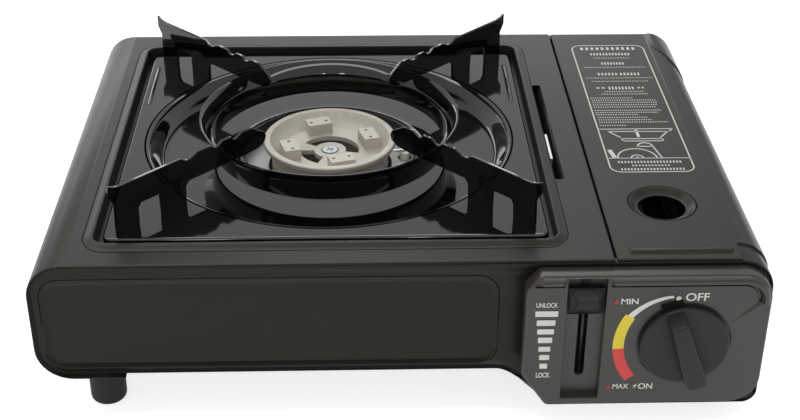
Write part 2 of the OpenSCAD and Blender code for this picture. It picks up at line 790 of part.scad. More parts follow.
// Die-cast aluminium head: a bowl with a wide rim, ports round its skirt and four raised blocks
module burner_head() {
    color([0.76, 0.75, 0.71]) translate([burner_x, burner_y, 0]) difference() {
        union() {
            rotate_extrude() polygon([
                [0, bowl_z], [bowl_r - 5.8, bowl_z], [bowl_r - 2.3, bowl_z + 3],
                [bowl_r, burner_top_z], [burner_r - 0.5, burner_top_z],
                [burner_r, burner_top_z - 0.5], [burner_r, burner_top_z - 2.5],
                [skirt_r, burner_top_z - 5.5], [skirt_r, head_z], [skirt_r - 3.5, head_z],
                [skirt_r - 3.5, bowl_z - bowl_floor_t], [0, bowl_z - bowl_floor_t]]);
            for (k = [0:3]) rotate([0, 0, block_turn + 90*k])
                block(block_r0, -block_w/2, bowl_z - 1, block_r1, block_w/2, bowl_z + block_h);
            rod_z(0, 0, head_z, bowl_z - 1, post_r);
        }
        rod_z(0, 0, bowl_z - screw_sink, bowl_z + 1, post_r - 0.2);
        for (k = [0:3], s = [-1, 1]) rotate([0, 0, block_turn + 90*k + 11*s])
            rod_z(21.8, 0, bowl_z - 4, burner_top_z, 0.9);
        for (k = [0:ports - 1]) rotate([0, 0, 360*k/ports])
            rod_x(0, head_z + 4, skirt_r - 6, skirt_r + 2, port_r);
        along_z(bowl_z - 4, bowl_z + 0.5) {
            sector(8.5, 15.5, -14, 150);
            sector(8.5, 16, 182, 247);
        }
        rod_z(0, 0, head_z - 1, burner_top_z, centre_hole_r);
    }
}

post_r = 5;
inlet_r = mix_r + 2.5;
mix_fit = 0.05;
cup_inlet_y = burner_y - cup_r - 10;

// Die-cast aluminium cup under the head, with the socket that the mixing tube enters
module burner_cup() {
    color([0.7, 0.7, 0.68]) difference() {
        union() {
            rod_z(burner_x, burner_y, cup_z, head_z, cup_r);
            rod_y(burner_x, pipe_z, cup_inlet_y, burner_y - cup_r + 6, inlet_r);
        }
        difference() {
            rod_z(burner_x, burner_y, cup_z + cup_t, head_z + 1, cup_r - cup_t);
            rod_z(burner_x, burner_y, cup_z, head_z + 2, post_r);
        }
        rod_y(burner_x, pipe_z, cup_inlet_y - 1, burner_y - cup_r + 2, mix_r + mix_fit);
        rod_y(burner_x, pipe_z, burner_y - cup_r, burner_y - cup_r + 8, mix_r - mix_t);
        rod_z(burner_x, burner_y, head_z - 14, head_z + 1, centre_hole_r - 0.1);
        for (s = [-1, 1]) rod_z(burner_x + s*cup_screw_out, burner_y, cup_z - 1,
            cup_z + cup_t + 1, screw_r + screw_gap);
    }
}

// Screw that holds the head on the cup
module burner_screw() {
    color([0.7, 0.7, 0.7]) difference() {
        union() {
            rod_z(burner_x, burner_y, head_z - 12, bowl_z - screw_sink + 0.1, centre_hole_r - 0.2);
            rod_z(burner_x, burner_y, bowl_z - screw_sink, bowl_z - screw_sink + 1.8, 4);
        }
        for (a = [0, 90]) translate([burner_x, burner_y, bowl_z - screw_sink + 1]) rotate([0, 0, a + 30])
            block(-2.4, -0.45, 0, 2.4, 0.45, 2);
    }
}

bell_l = 6;
bell_x = partition_x - sheet_t - 10;
bend_x = burner_x + mix_bend_r;
mix_end_y = burner_y - cup_r - 0.3;

module mix_tube_2d(r) {
    translate([mix_bend_r, 0]) circle(r = r);
}

module mix_route(r) {
    rod_x(pipe_y, pipe_z, bend_x, bell_x, r);
    rod_y(burner_x, pipe_z, pipe_y + mix_bend_r, mix_end_y, r);
    translate([bend_x, pipe_y + mix_bend_r, pipe_z]) intersection() {
        rotate_extrude() mix_tube_2d(r);
        block(-2*mix_bend_r, -2*mix_bend_r, -2*r, 0, 0, 2*r);
    }
}

// Aluminium tube that mixes gas and air and feeds the cup
module mixing_tube() {
    color([0.72, 0.72, 0.7]) difference() {
        union() {
            mix_route(mix_r);
            rod_x(pipe_y, pipe_z, bell_x - bell_l, bell_x, bell_r);
        }
        mix_route(mix_r - mix_t);
        rod_x(pipe_y, pipe_z, bell_x - bell_l + mix_t, bell_x + 1, bell_r - mix_t);
        for (a = [45:90:315]) translate([bell_x - bell_l - 9, pipe_y, pipe_z]) rotate([a, 0, 0])
            block(-4, -1.6, 0, 4, 1.6, mix_r + 1);
    }
}

bracket_t = 1.2;
bracket_half = 34;
bracket_foot = 12;
bracket_w = 26;
cup_screw_out = 15;
bracket_screw_x = [burner_x - bracket_half - bracket_foot/2, burner_x + bracket_half + bracket_foot/2];

// Steel bridge that carries the burner above the floor
module burner_bracket() {
    color([0.6, 0.6, 0.62]) difference() {
        along_y(burner_y - bracket_w/2, burner_y + bracket_w/2) {
            box_2d(burner_x - bracket_half, cup_z - bracket_t, burner_x + bracket_half, cup_z);
            for (s = [-1, 1]) {
                translate([burner_x + s*(bracket_half - bracket_t/2), 0])
                    box_2d(-bracket_t/2, base_left_z, bracket_t/2, cup_z);
                translate([burner_x + s*(bracket_half + bracket_foot/2 - bracket_t), 0])
                    box_2d(-bracket_foot/2, base_left_z, bracket_foot/2, base_left_z + bracket_t);
            }
        }
        for (x = bracket_screw_x) rod_z(x, burner_y, base_left_z - 1, base_left_z + 3,
            screw_r + screw_gap);
        for (s = [-1, 1]) rod_z(burner_x + s*cup_screw_out, burner_y, cup_z - 3, cup_z + 1,
            screw_r + screw_gap);
    }
}

module screw_up(x, y, z_head, z_tip) {
    rod_z(x, y, z_head - screw_head_h, z_head, screw_head_r);
    rod_z(x, y, z_head - eps, z_tip, screw_r);
}

// Four screws: two into the cup and two into the floor
module bracket_screws() {
    color("silver") {
        for (s = [-1, 1]) screw_up(burner_x + s*cup_screw_out, burner_y, cup_z - bracket_t,
            cup_z + cup_t);
        for (x = bracket_screw_x) translate([0, 0, base_left_z + bracket_t]) mirror([0, 0, 1])
            screw_up(x, burner_y, 0, bracket_t + sheet_t + 1);
    }
}

reflector_hole_r = skirt_r + 2;
leg_w = 12;
electrode_a = 8;
electrode_x = burner_x + electrode_out*cos(electrode_a);
electrode_y = burner_y + electrode_out*sin(electrode_a);

// Zinc-plated plate that shows through the tray's hole and shades the floor from the flame
module reflector_plate() {
    half = reflector_w/2;
    color([0.85, 0.86, 0.86]) translate([burner_x, burner_y, 0]) {
        difference() {
            along_z(reflector_z, reflector_z + sheet_t) difference() {
                round_rect(-half, -half, half, half, 6);
                circle(r = reflector_hole_r);
            }
            rod_z(electrode_x - burner_x, electrode_y - burner_y, reflector_z - 1,
                reflector_z + 2, ceramic_r + 1);
        }
        for (sx = [-1, 1], sy = [-1, 1]) translate([sx*(half - sheet_t/2), sy*(half - 6 - leg_w/2), 0])
            block(-sheet_t/2, -leg_w/2, base_left_z, sheet_t/2, leg_w/2, reflector_z + sheet_t/2);
        for (sx = [-1, 1], sy = [-1, 1]) translate([sx*(half + 3), sy*(half - 6 - leg_w/2), base_left_z])
            block(-3 - sheet_t, -leg_w/2, 0, 3 + sheet_t, leg_w/2, sheet_t);
    }
}

heat_plate_y = burner_y - 19.1;
heat_plate_x = vent_x - 0.8;
heat_plate_t = 1.2;
tongue_z = casing_h - 0.5;

// Aluminium tongue that leads a little of the burner's heat to the cartridge bay
module heat_plate() {
    y0 = heat_plate_y - heat_plate_w/2;
    color([0.82, 0.82, 0.8]) {
        along_y(y0, y0 + heat_plate_w) {
            box_2d(burner_x + reflector_hole_r + 4, reflector_z - heat_plate_t,
                heat_plate_x, reflector_z);
            box_2d(heat_plate_x - heat_plate_t, reflector_z - heat_plate_t, heat_plate_x,
                tongue_z);
        }
    }
}

// ---- Gas valve ----
valve_neck_r = 9;
valve_front_y = front_y + 6;
valve_back_y = front_y + 27;
neck_back_y = front_y + 44;
valve_neck_y = plate_y + fit_gap;
valve_bore_y = front_y + 22;
diaphragm_r = 11;
diaphragm_x = knob_x + valve_r + 1;
diaphragm_y = valve_front_y + diaphragm_r + 0.5;
jet_boss_r = pipe_r + 1.5;
jet_boss_x = knob_x - neck_r - 8;
pipe_bore_l = 5;
piezo_x = knob_x - 22;
piezo_z = knob_z + 22.5;
piezo_y0 = front_y + 8;
ear_y0 = front_y + 10;
ear_y1 = front_y + 18;
valve_screw_x = [knob_x - 12.5, knob_x + 12.5];
seal_t = 1.8;
seal_r = socket_r - 0.5;
seal_y = neck_back_y - socket_depth - seal_t;
dock_flange_r = 14;
dock_flange_t = 2;

// Zinc die-casting: regulator chamber, spindle bore, docking neck and the igniter's ear
module valve_body() {
    color([0.62, 0.63, 0.65]) difference() {
        union() {
            rod_y(knob_x, knob_z, valve_front_y, valve_back_y, valve_r);
            rod_y(knob_x, knob_z, valve_neck_y, valve_front_y + eps, valve_neck_r);
            rod_y(knob_x, knob_z, valve_back_y - eps, neck_back_y, neck_r);
            rod_y(knob_x, knob_z, neck_back_y - dock_flange_t, neck_back_y, dock_flange_r);
            rod_x(diaphragm_y, knob_z, knob_x, diaphragm_x, diaphragm_r - 3);
            rod_x(diaphragm_y, knob_z, diaphragm_x - 3, diaphragm_x, diaphragm_r);
            rod_x(pipe_y, pipe_z, jet_boss_x, knob_x, jet_boss_r);
            block(piezo_x - piezo_r - 2, ear_y0, piezo_z - piezo_r - 5, knob_x - 2, ear_y1,
                piezo_z + piezo_r + 2);
        }
        rod_y(knob_x, knob_z, valve_neck_y - 1, valve_bore_y, spindle_r + spindle_fit);
        rod_y(knob_x, knob_z, neck_back_y - socket_depth, neck_back_y + 1, socket_r);
        rod_y(knob_x, knob_z, seal_y, neck_back_y - socket_depth + 1, seal_r + mix_fit);
        rod_x(pipe_y, pipe_z, jet_boss_x - 1, jet_boss_x + pipe_bore_l, pipe_r + mix_fit);
        rod_x(pipe_y, pipe_z, jet_boss_x, knob_x, 0.9);
        rod_y(piezo_x, piezo_z, ear_y0 - 1, ear_y1 + 1, piezo_r + mix_fit);
        for (x = valve_screw_x) rod_y(x, knob_z, valve_front_y - 1, valve_front_y + 8,
            screw_r + screw_gap);
        for (p = diaphragm_screw_at) rod_x(p[0], p[1], diaphragm_x - 2.6, diaphragm_x + 1,
            diaphragm_screw_r + screw_gap);
    }
}

// Steel plate between the valve and the front panel
module valve_bracket() {
    color([0.6, 0.6, 0.62]) difference() {
        along_y(valve_neck_y, valve_front_y)
            round_rect(knob_x - 22, knob_z - 15, knob_x + 22, knob_z + 15, 4);
        along_y(valve_neck_y + bracket_t, valve_front_y + 1)
            round_rect(knob_x - 16, knob_z - 30, knob_x - 9 - 2*screw_r, knob_z + 30, 1);
        rod_y(knob_x, knob_z, front_y, valve_front_y + 1, valve_neck_r + 0.2);
        for (x = valve_screw_x) rod_y(x, knob_z, front_y, valve_front_y + 1, screw_r + screw_gap);
    }
}

module screw_back(x, z, y_head, y_tip) {
    rod_y(x, z, y_head - screw_head_h, y_head, screw_head_r);
    rod_y(x, z, y_head - eps, y_tip, screw_r);
}

// Two screws that hold the valve from the front
module valve_screws() {
    color("silver") for (x = valve_screw_x)
        screw_back(x, knob_z, front_y + rim_d, valve_front_y + 7);
}

diaphragm_screw_r = 1;
diaphragm_screw_at = [for (a = [45:90:315])
    [diaphragm_y + (diaphragm_r - 2.2)*cos(a), knob_z + (diaphragm_r - 2.2)*sin(a)]];

// Domed cover over the regulator's diaphragm
module diaphragm_cover() {
    color([0.7, 0.7, 0.72]) difference() {
        union() {
            rod_x(diaphragm_y, knob_z, diaphragm_x, diaphragm_x + 2, diaphragm_r);
            rod_x(diaphragm_y, knob_z, diaphragm_x + 1, diaphragm_x + 4.5, diaphragm_r - 4.4);
        }
        rod_x(diaphragm_y, knob_z, diaphragm_x + 3.5, diaphragm_x + 6, 0.8);
        for (p = diaphragm_screw_at) rod_x(p[0], p[1], diaphragm_x - 1, diaphragm_x + 3,
            diaphragm_screw_r + screw_gap);
    }
}

module diaphragm_screws() {
    color("silver") for (p = diaphragm_screw_at) {
        rod_x(p[0], p[1], diaphragm_x - 2, diaphragm_x + 3, diaphragm_screw_r);
        rod_x(p[0], p[1], diaphragm_x + 2, diaphragm_x + 3.2, 1.9);
    }
}

// Rubber ring at the bottom of the docking socket
module socket_seal() {
    color([0.1, 0.1, 0.1]) difference() {
        rod_y(knob_x, knob_z, seal_y, seal_y + seal_t, seal_r);
        rod_y(knob_x, knob_z, seal_y - 1, seal_y + seal_t + 1, 1.6);
    }
}

face_y = front_y - panel_proud + brow_proud;
knob_front_y = front_y - panel_proud - knob_proud;
disc_back_y = face_y - knob_gap;
disc_front_y = disc_back_y - knob_disc_h;
bore_depth = 7;
flat_depth = 1;

// Steel spindle with a flat for the knob
module valve_spindle() {
    y0 = disc_front_y - bore_depth + 1;
    color([0.75, 0.7, 0.5]) difference() {
        rod_y(knob_x, knob_z, y0, valve_bore_y - 1, spindle_r);
        translate([knob_x, 0, knob_z]) rotate([0, -knob_rest_deg, 0])
            block(-2*spindle_r, y0 - 1, spindle_r - flat_depth, 2*spindle_r, disc_back_y + 1,
                2*spindle_r);
    }
}

grip_end = 1.7;

// Round plastic knob with a grip bar and a pointer tab
module control_knob() {
    color([0.2, 0.2, 0.19]) translate([knob_x, 0, knob_z]) rotate([0, -knob_rest_deg, 0]) difference() {
        union() {
            rod_y(0, 0, disc_front_y, disc_back_y, knob_r);
            along_x(-grip_w/2, grip_w/2) polygon([
                [disc_front_y + 1, -knob_r + 0.5], [disc_front_y, -knob_r + 0.5],
                [knob_front_y, -knob_r + grip_end], [knob_front_y, knob_r - 2*grip_end],
                [disc_front_y, knob_r - 0.5], [disc_front_y + 1, knob_r - 0.5]]);
            rod_y(0, 0, disc_back_y - eps, front_y - 1, hub_r);
            along_y(disc_back_y - 1.2, disc_back_y) box_2d(-grip_w/2 - 0.6, knob_r - 2,
                grip_w/2 + 0.6, knob_r + 4.6);
        }
        difference() {
            rod_y(0, 0, disc_front_y - bore_depth, front_y, spindle_r + spindle_fit);
            block(-2*spindle_r, disc_front_y - bore_depth - 1, spindle_r - flat_depth + 0.1,
                2*spindle_r, disc_back_y + 0.5, 2*spindle_r);
        }
    }
}

jet_x = bell_x + 4;
jet_l = 9;

// Brass pipe from the valve to the jet
module gas_pipe() {
    color([0.72, 0.6, 0.35]) difference() {
        rod_x(pipe_y, pipe_z, jet_x + jet_l, jet_boss_x + pipe_bore_l - 0.2, pipe_r);
        rod_x(pipe_y, pipe_z, jet_x + jet_l - 1, jet_boss_x + pipe_bore_l, 1.6);
    }
}

// Brass jet with a six-sided collar
module gas_jet() {
    color([0.78, 0.66, 0.36]) difference() {
        union() {
            rod_x(pipe_y, pipe_z, jet_x, jet_x + jet_l, 2.2);
            translate([jet_x + jet_l - 4, pipe_y, pipe_z]) rotate([0, 90, 0])
                cylinder(h = 4, r = 4.4, $fn = 6);
        }
        rod_x(pipe_y, pipe_z, jet_x - 1, jet_x + jet_l + 1, 0.5);
    }
}

// ---- Igniter ----
// Piezo cylinder with its push end and its lead socket
module piezo_igniter() {
    color([0.85, 0.84, 0.8]) {
        rod_y(piezo_x, piezo_z, piezo_y0, piezo_y0 + piezo_l, piezo_r);
        rod_y(piezo_x, piezo_z, piezo_y0 - 1.6, piezo_y0 + eps, 2.4);
        rod_y(piezo_x, piezo_z, piezo_y0 + piezo_l - eps, piezo_y0 + piezo_l + 2, 2.2);
    }
}

holder_z = reflector_z - 5;
ceramic_z0 = reflector_z - 12;
ceramic_z1 = reflector_z + 4.5;
lead_route = [
    [electrode_x, electrode_y, ceramic_z0 - 0.1],
    [electrode_x, electrode_y, ceramic_z0 - 4],
    [electrode_x + 4, electrode_y - 1, ceramic_z0 - 10],
    [electrode_x + 14, electrode_y - 5, ceramic_z0 - 12],
    [electrode_x + 40, electrode_y - 16, ceramic_z0 - 9],
    [partition_x - 16, grommet_y + 14, grommet_z - 6],
    [partition_x - 7, grommet_y + 1, grommet_z],
    [partition_x + 2, grommet_y, grommet_z],
    [partition_x + 16, grommet_y - 1, grommet_z + 2],
    [piezo_x - 6, piezo_y0 + piezo_l + 13, piezo_z - 1],
    [piezo_x, piezo_y0 + piezo_l + 7, piezo_z],
    [piezo_x, piezo_y0 + piezo_l + 2.1, piezo_z]];
lead_steps = 5;
lead_sides = 8;
lead_side_on = [0.5, 0.5, 0.7];

function unit(v) = v/norm(v);

// Smooth curve through the points of a route, at t from 0 to the number of its stretches
function route_point(route, t) = let(
    n = len(route) - 1,
    k = min(floor(t), n - 1),
    u = t - k,
    p0 = route[max(k - 1, 0)],
    p1 = route[k],
    p2 = route[k + 1],
    p3 = route[min(k + 2, n)])
    0.5*(2*p1 + (p2 - p0)*u + (2*p0 - 5*p1 + 4*p2 - p3)*u*u + (3*p1 - p0 - 3*p2 + p3)*u*u*u);

function route_ring(route, t, r, sides) = let(
    n = len(route) - 1,
    ahead = unit(route_point(route, min(t + 0.01, n)) - route_point(route, max(t - 0.01, 0))),
    across = unit(cross(ahead, lead_side_on)),
    up = cross(across, ahead))
    [for (s = [0:sides - 1]) let(a = 360*s/sides)
        route_point(route, t) + r*(cos(a)*across + sin(a)*up)];

// Closed surface over rings of points, m to a ring and n + 1 rings
module skin(points, m, n) {
    sides = [for (k = [0:n - 1], s = [0:m - 1])
        [k*m + s, k*m + (s + 1)%m, (k + 1)*m + (s + 1)%m, (k + 1)*m + s]];
    ends = [[for (s = [m - 1:-1:0]) s], [for (s = [0:m - 1]) n*m + s]];
    polyhedron(points = points, faces = concat(sides, ends), convexity = 8);
}

// High-voltage lead, pushed on the piezo and on the electrode
module ignition_lead() {
    n = lead_steps*(len(lead_route) - 1);
    points = [for (k = [0:n]) each route_ring(lead_route, k/lead_steps, lead_r, lead_sides)];
    color([0.75, 0.1, 0.08]) skin(points, lead_sides, n);
}

// Rubber ring that guides the lead through the partition
module lead_grommet() {
    color([0.1, 0.1, 0.1]) difference() {
        union() {
            rod_x(grommet_y, grommet_z, partition_x - sheet_t, partition_x, grommet_r - 0.05);
            rod_x(grommet_y, grommet_z, partition_x, partition_x + 1.6, grommet_r + 1.4);
            rod_x(grommet_y, grommet_z, partition_x - sheet_t - 1.6, partition_x - sheet_t,
                grommet_r + 1.4);
        }
        rod_x(grommet_y, grommet_z, partition_x - 6, partition_x + 6, grommet_r - 1);
    }
}

module ceramic_sleeve() {
    color([0.95, 0.94, 0.9]) difference() {
        union() {
            rod_z(electrode_x, electrode_y, ceramic_z0, ceramic_z1, ceramic_r);
            rod_z(electrode_x, electrode_y, holder_z + 1, holder_z + 2.4, ceramic_r + 1);
        }
        rod_z(electrode_x, electrode_y, ceramic_z0 + 2, ceramic_z1 + 1, spark_r + mix_fit);
    }
}

spark_r = 0.8;
spark_gap = 3;

// Wire whose tip points at the ports
module spark_electrode() {
    reach = skirt_r + spark_gap;
    tip_x = burner_x + reach*cos(electrode_a);
    tip_y = burner_y + reach*sin(electrode_a);
    top_z = head_z + 7;
    color([0.6, 0.6, 0.6]) {
        rod_z(electrode_x, electrode_y, ceramic_z0 + 2.2, top_z, spark_r);
        translate([electrode_x, electrode_y, top_z]) sphere(r = spark_r);
        translate([electrode_x, electrode_y, top_z])
            rotate([0, -90, atan2(electrode_y - tip_y, electrode_x - tip_x)])
            cylinder(h = electrode_out - reach, r = spark_r);
    }
}

// Small angle that holds the sleeve under the reflector plate
module electrode_bracket() {
    color([0.6, 0.6, 0.62]) difference() {
        union() {
            block(electrode_x - 5, electrode_y - 5, holder_z, electrode_x + 5, electrode_y + 9,
                holder_z + 1);
            block(electrode_x - 5, electrode_y + 8, holder_z, electrode_x + 5, electrode_y + 9,
                reflector_z);
        }
        rod_z(electrode_x, electrode_y, reflector_z - 9, reflector_z, ceramic_r + 0.1);
    }
}

// ---- Control panel ----
panel_x0 = right_x - panel_w;
panel_x1 = right_x - panel_right_gap;
panel_top_z = panel_z + panel_h;
panel_back_y = front_y + rim_d;
channel_x0 = lever_x - channel_w/2;
channel_x1 = lever_x + channel_w/2;
channel_floor_y = front_y - 2.5;
channel_floor_t = 1.5;
chamfer_top_w = 0.38*pillar_w;
chamfer_top_h = 8;
slant_w = 0.7*pillar_w;
slant_h = 17;
panel_screw_at = [[panel_x0 + 0.6*pillar_w, panel_top_z - 12], [panel_x0 + 0.6*pillar_w, panel_z + 24],
    [panel_x1 - 9, panel_top_z - 12], [panel_x1 - 9, panel_z + 14]];

module panel_outline(i) {
    middle = channel_x1 + 20;
    polygon([[panel_x0 + i, panel_z + slant_h], [panel_x0 + i, panel_top_z - chamfer_top_h],
        [panel_x0 + chamfer_top_w + slant*i, panel_top_z - i], [middle, panel_top_z - i],
        [middle, panel_z + i], [panel_x0 + slant_w + slant*i, panel_z + i]]);
    round_rect(channel_x1, panel_z + i, panel_x1 - i, panel_top_z - i, panel_r - i);
}

// Moulded panel with the lever channel, the knob's seat and screw bosses behind it
module control_panel() {
    color([0.24, 0.24, 0.22]) difference() {
        union() {
            difference() {
                along_y(face_y, panel_back_y) panel_outline(0);
                along_y(face_y + panel_t, panel_back_y + 1) panel_outline(panel_t);
            }
            along_y(face_y - brow_proud, face_y + 1) {
                round_rect(channel_x1 + 1, panel_top_z - brow_h - 0.6, panel_x1 - panel_r + 6,
                    panel_top_z - 0.6, brow_h/2 - eps);
                round_rect(panel_x0 + chamfer_top_w + 1, panel_top_z - brow_h - 0.6, channel_x0 - 2,
                    panel_top_z - 0.6, brow_h/2 - eps);
            }
            along_y(face_y, panel_back_y) box_2d(channel_x0 - channel_wall, channel_z - channel_wall,
                channel_x1 + channel_wall, panel_top_z);
            for (p = panel_screw_at) rod_y(p[0], p[1], face_y + 1, panel_back_y, boss_r);
        }
        along_y(face_y - 2*brow_proud, channel_floor_y) box_2d(channel_x0, channel_z, channel_x1,
            panel_top_z + 1);
        along_y(channel_floor_y + channel_floor_t, panel_back_y + 1) box_2d(channel_x0, channel_z,
            channel_x1, panel_top_z - channel_wall);
        along_y(channel_floor_y - 1, panel_back_y + 1) round_rect(lever_x - stem_slot_w/2,
            stem_z0 - lever_travel - 2.5, lever_x + stem_slot_w/2, stem_z1 + 2.5,
            stem_slot_w/2 - eps);
        rod_y(knob_x, knob_z, face_y - 1, face_y + panel_t + 1, hub_r + knob_gap);
        for (p = panel_screw_at) rod_y(p[0], p[1], face_y + 2.2, panel_back_y + 1,
            boss_hole_r + 0.05);
    }
}

// Screws from behind the front panel into the bosses
module panel_screws() {
    color("silver") for (p = panel_screw_at) translate([0, 2*plate_y, 0]) mirror([0, 1, 0])
        screw_back(p[0], p[1], plate_y, plate_y + sheet_t + 5);
}

// ---- Lock lever and carriage ----
lever_z0 = lever_top_z - lever_h;
slab_top_z = lever_top_z - 5.7;
lever_back_y = channel_floor_y - lever_gap;
lever_front_y = lever_back_y - lever_t;
lever_half = channel_w/2 - lever_gap;
grip_y = face_y - lever_proud;
stem_half = stem_slot_w/2 - stem_gap;
stem_z0 = lever_z0 + 3;
stem_z1 = lever_top_z - 1.5;
stem_end_y = front_y + 4.5;
cam_pin_y = front_y + 18.5;
cam_pin_z = lever_top_z - 10.5;
lever_plate_x = lever_x + lever_plate_t/2;

// Plastic thumb lever: a slab in the channel, a ledge for the finger and a stem behind
module lock_lever() {
    color([0.2, 0.2, 0.2]) {
        along_y(lever_front_y, lever_back_y)
            round_rect(lever_x - lever_half, lever_z0, lever_x + lever_half, slab_top_z, 0.8);
        along_x(lever_x - lever_half + 0.8, lever_x + lever_half - 0.8) polygon([
            [lever_front_y + 1, lever_z0 + 0.6], [lever_front_y, lever_z0 + 0.6],
            [grip_y, lever_z0 + 5.5], [grip_y, lever_z0 + 10.5], [grip_y + 1.5, lever_z0 + 12.2],
            [lever_front_y, lever_z0 + 13.6], [lever_front_y + 1, lever_z0 + 13.6]]);
        block(lever_x - stem_half, lever_back_y - eps, stem_z0, lever_x + stem_half, stem_end_y,
            stem_z1);
    }
}

// Steel plate behind the stem
module lever_plate() {
    color([0.7, 0.7, 0.72]) along_x(lever_x - lever_plate_t/2, lever_plate_x) difference() {
        round_rect(stem_end_y, stem_z0 + 1, cam_pin_y + 5, stem_z1 - 1, 2);
        translate([stem_end_y + 5, (stem_z0 + stem_z1)/2]) circle(r = 1.5);
    }
}

cam_plate_x = lever_plate_x + 1.5;
cam_head_x = cam_plate_x + carriage_t + 0.6;

// Headed pin that rides in the carriage's slanted slot
module cam_pin() {
    color("silver") {
        rod_x(cam_pin_y, cam_pin_z, lever_plate_x, cam_head_x + 0.5, cam_pin_r);
        rod_x(cam_pin_y, cam_pin_z, cam_head_x, cam_head_x + 1.2, cam_pin_r + 1.3);
    }
}

cam_len = norm([carriage_stroke, lever_travel]);
cam_half = cam_pin_r + cam_gap;
cam_edge = 3;
rail_t = 0.8;
strip_z = base_bay_z + rail_t + slide_gap;
shoulder_y = front_y + shoulder_from_front;
cartridge_back_y = shoulder_y + cartridge_l;
pusher_y = cartridge_back_y + carriage_stroke + 0.5;
arm_y0 = shoulder_y + 6;
arm_y1 = arm_y0 + 12;
cam_y0 = cam_pin_y - cam_half - cam_edge;
cam_y1 = cam_pin_y + carriage_stroke + cam_half + cam_edge;
cam_foot_w = 12;
spring_x = knob_x - carriage_w/2 - 10;
hook_y = shoulder_y + 38;
hook_half = 3.5;

// Steel slide under the cartridge: slotted cam plate in front and pusher plate behind
module cartridge_carriage() {
    z1 = strip_z + carriage_t;
    color([0.72, 0.73, 0.75]) {
        along_z(strip_z, z1) {
            box_2d(knob_x - carriage_w/2, arm_y0, knob_x + carriage_w/2, pusher_y + carriage_t);
            box_2d(cam_plate_x, arm_y0, knob_x, arm_y1);
            box_2d(cam_plate_x, cam_y0, cam_plate_x + cam_foot_w, arm_y1);
        }
        along_x(cam_plate_x, cam_plate_x + carriage_t) difference() {
            box_2d(cam_y0, strip_z, cam_y1, cam_pin_z + cam_half + cam_edge);
            translate([cam_pin_y, cam_pin_z]) circle(r = cam_half);
            translate([cam_pin_y + carriage_stroke, cam_pin_z - lever_travel]) circle(r = cam_half);
            translate([cam_pin_y, cam_pin_z]) rotate(atan2(-lever_travel, carriage_stroke))
                box_2d(0, -cam_half, cam_len, cam_half);
        }
        along_y(pusher_y, pusher_y + carriage_t)
            round_rect(knob_x - pusher_w/2, strip_z, knob_x + pusher_w/2, pusher_top_z, 1);
        block(spring_x - hook_half, hook_y, strip_z, knob_x, hook_y + 4, z1);
        block(spring_x - hook_half, hook_y, strip_z, spring_x + hook_half, hook_y + carriage_t,
            spring_z + 4);
    }
}

rail_y0 = hook_y + 9;
rail_y1 = rail_y0 + 90;
rail_lip = 3;

module rail_2d() {
    edge = knob_x + carriage_w/2;
    box_2d(edge - rail_lip, base_bay_z, edge + slide_gap + rail_t + 5, base_bay_z + rail_t);
    box_2d(edge + slide_gap, base_bay_z, edge + slide_gap + rail_t,
        strip_z + carriage_t + slide_gap + rail_t);
    box_2d(edge - rail_lip, strip_z + carriage_t + slide_gap, edge + slide_gap + rail_t,
        strip_z + carriage_t + slide_gap + rail_t);
}

// Two folded rails that hold the carriage's strip down on the floor
module carriage_rails() {
    color([0.6, 0.6, 0.62]) {
        along_y(rail_y0, rail_y1) {
            rail_2d();
            translate([2*knob_x, 0]) mirror([1, 0]) rail_2d();
        }
        block(spring_x - hook_half, anchor_y, base_bay_z, knob_x - carriage_w/2 - 2, anchor_y + 8,
            base_bay_z + rail_t);
        block(spring_x - hook_half, anchor_y, base_bay_z, spring_x + hook_half, anchor_y + rail_t,
            spring_z + 4);
    }
}

spring_r = 3;
spring_wire_r = 0.5;
spring_z = strip_z + carriage_t + 4.2;
spring_y0 = hook_y + carriage_t + 0.1;
spring_l = 34;
anchor_y = spring_y0 + spring_l + 0.1;
spring_turns = 11;
spring_rings = 12;
spring_sides = 6;

function spring_point(k) = let(t = k/(spring_turns*spring_rings), a = 360*t*spring_turns)
    [spring_x + spring_r*cos(a), spring_y0 + spring_wire_r + t*(spring_l - 2*spring_wire_r),
        spring_z + spring_r*sin(a)];

function spring_ring(k) = let(a = 360*k/spring_rings)
    [for (s = [0:spring_sides - 1]) let(b = 360*s/spring_sides) spring_point(k)
        + spring_wire_r*[cos(b)*cos(a), sin(b), cos(b)*sin(a)]];

// Extension spring that draws the carriage back to the unlocked place
module return_spring() {
    n = spring_turns*spring_rings;
    points = [for (k = [0:n]) each spring_ring(k)];
    color([0.7, 0.7, 0.72]) skin(points, spring_sides, n);
}

cradle_gap = 0.3;

// Upright plate cut to the cartridge's curve, with a foot and a notch for the carriage
module cradle(y) {
    color([0.6, 0.6, 0.62]) {
        along_y(y, y + cradle_t) difference() {
            box_2d(knob_x - cradle_w/2, base_bay_z, knob_x + cradle_w/2,
                knob_z - cartridge_r + 8);
            translate([knob_x, knob_z]) circle(r = cartridge_r + cradle_gap);
            box_2d(knob_x - carriage_w/2 - 1.5, base_bay_z - 1, knob_x + carriage_w/2 + 1.5,
                strip_z + carriage_t + 0.8);
        }
        for (s = [-1, 1]) translate([knob_x + s*(cradle_w + carriage_w + 3)/4, 0, 0])
            block(-(cradle_w - carriage_w - 3)/4, y + cradle_t - eps, base_bay_z,
                (cradle_w - carriage_w - 3)/4, y + 8, base_bay_z + rail_t);
    }
}

module cartridge_cradle_front() { cradle(front_y + cradle_front_from_front); }
module cartridge_cradle_rear() { cradle(front_y + cradle_rear_from_front); }

// ---- Feet and screws ----
foot_left_x = left_x + foot_in_left;
foot_right_x = right_x - foot_in_right;
foot_front_y = front_y + foot_from_rim;
foot_rear_y = back_y - foot_from_rim;
foot_dome = 3;
foot_bore_r = screw_head_r + 0.6;

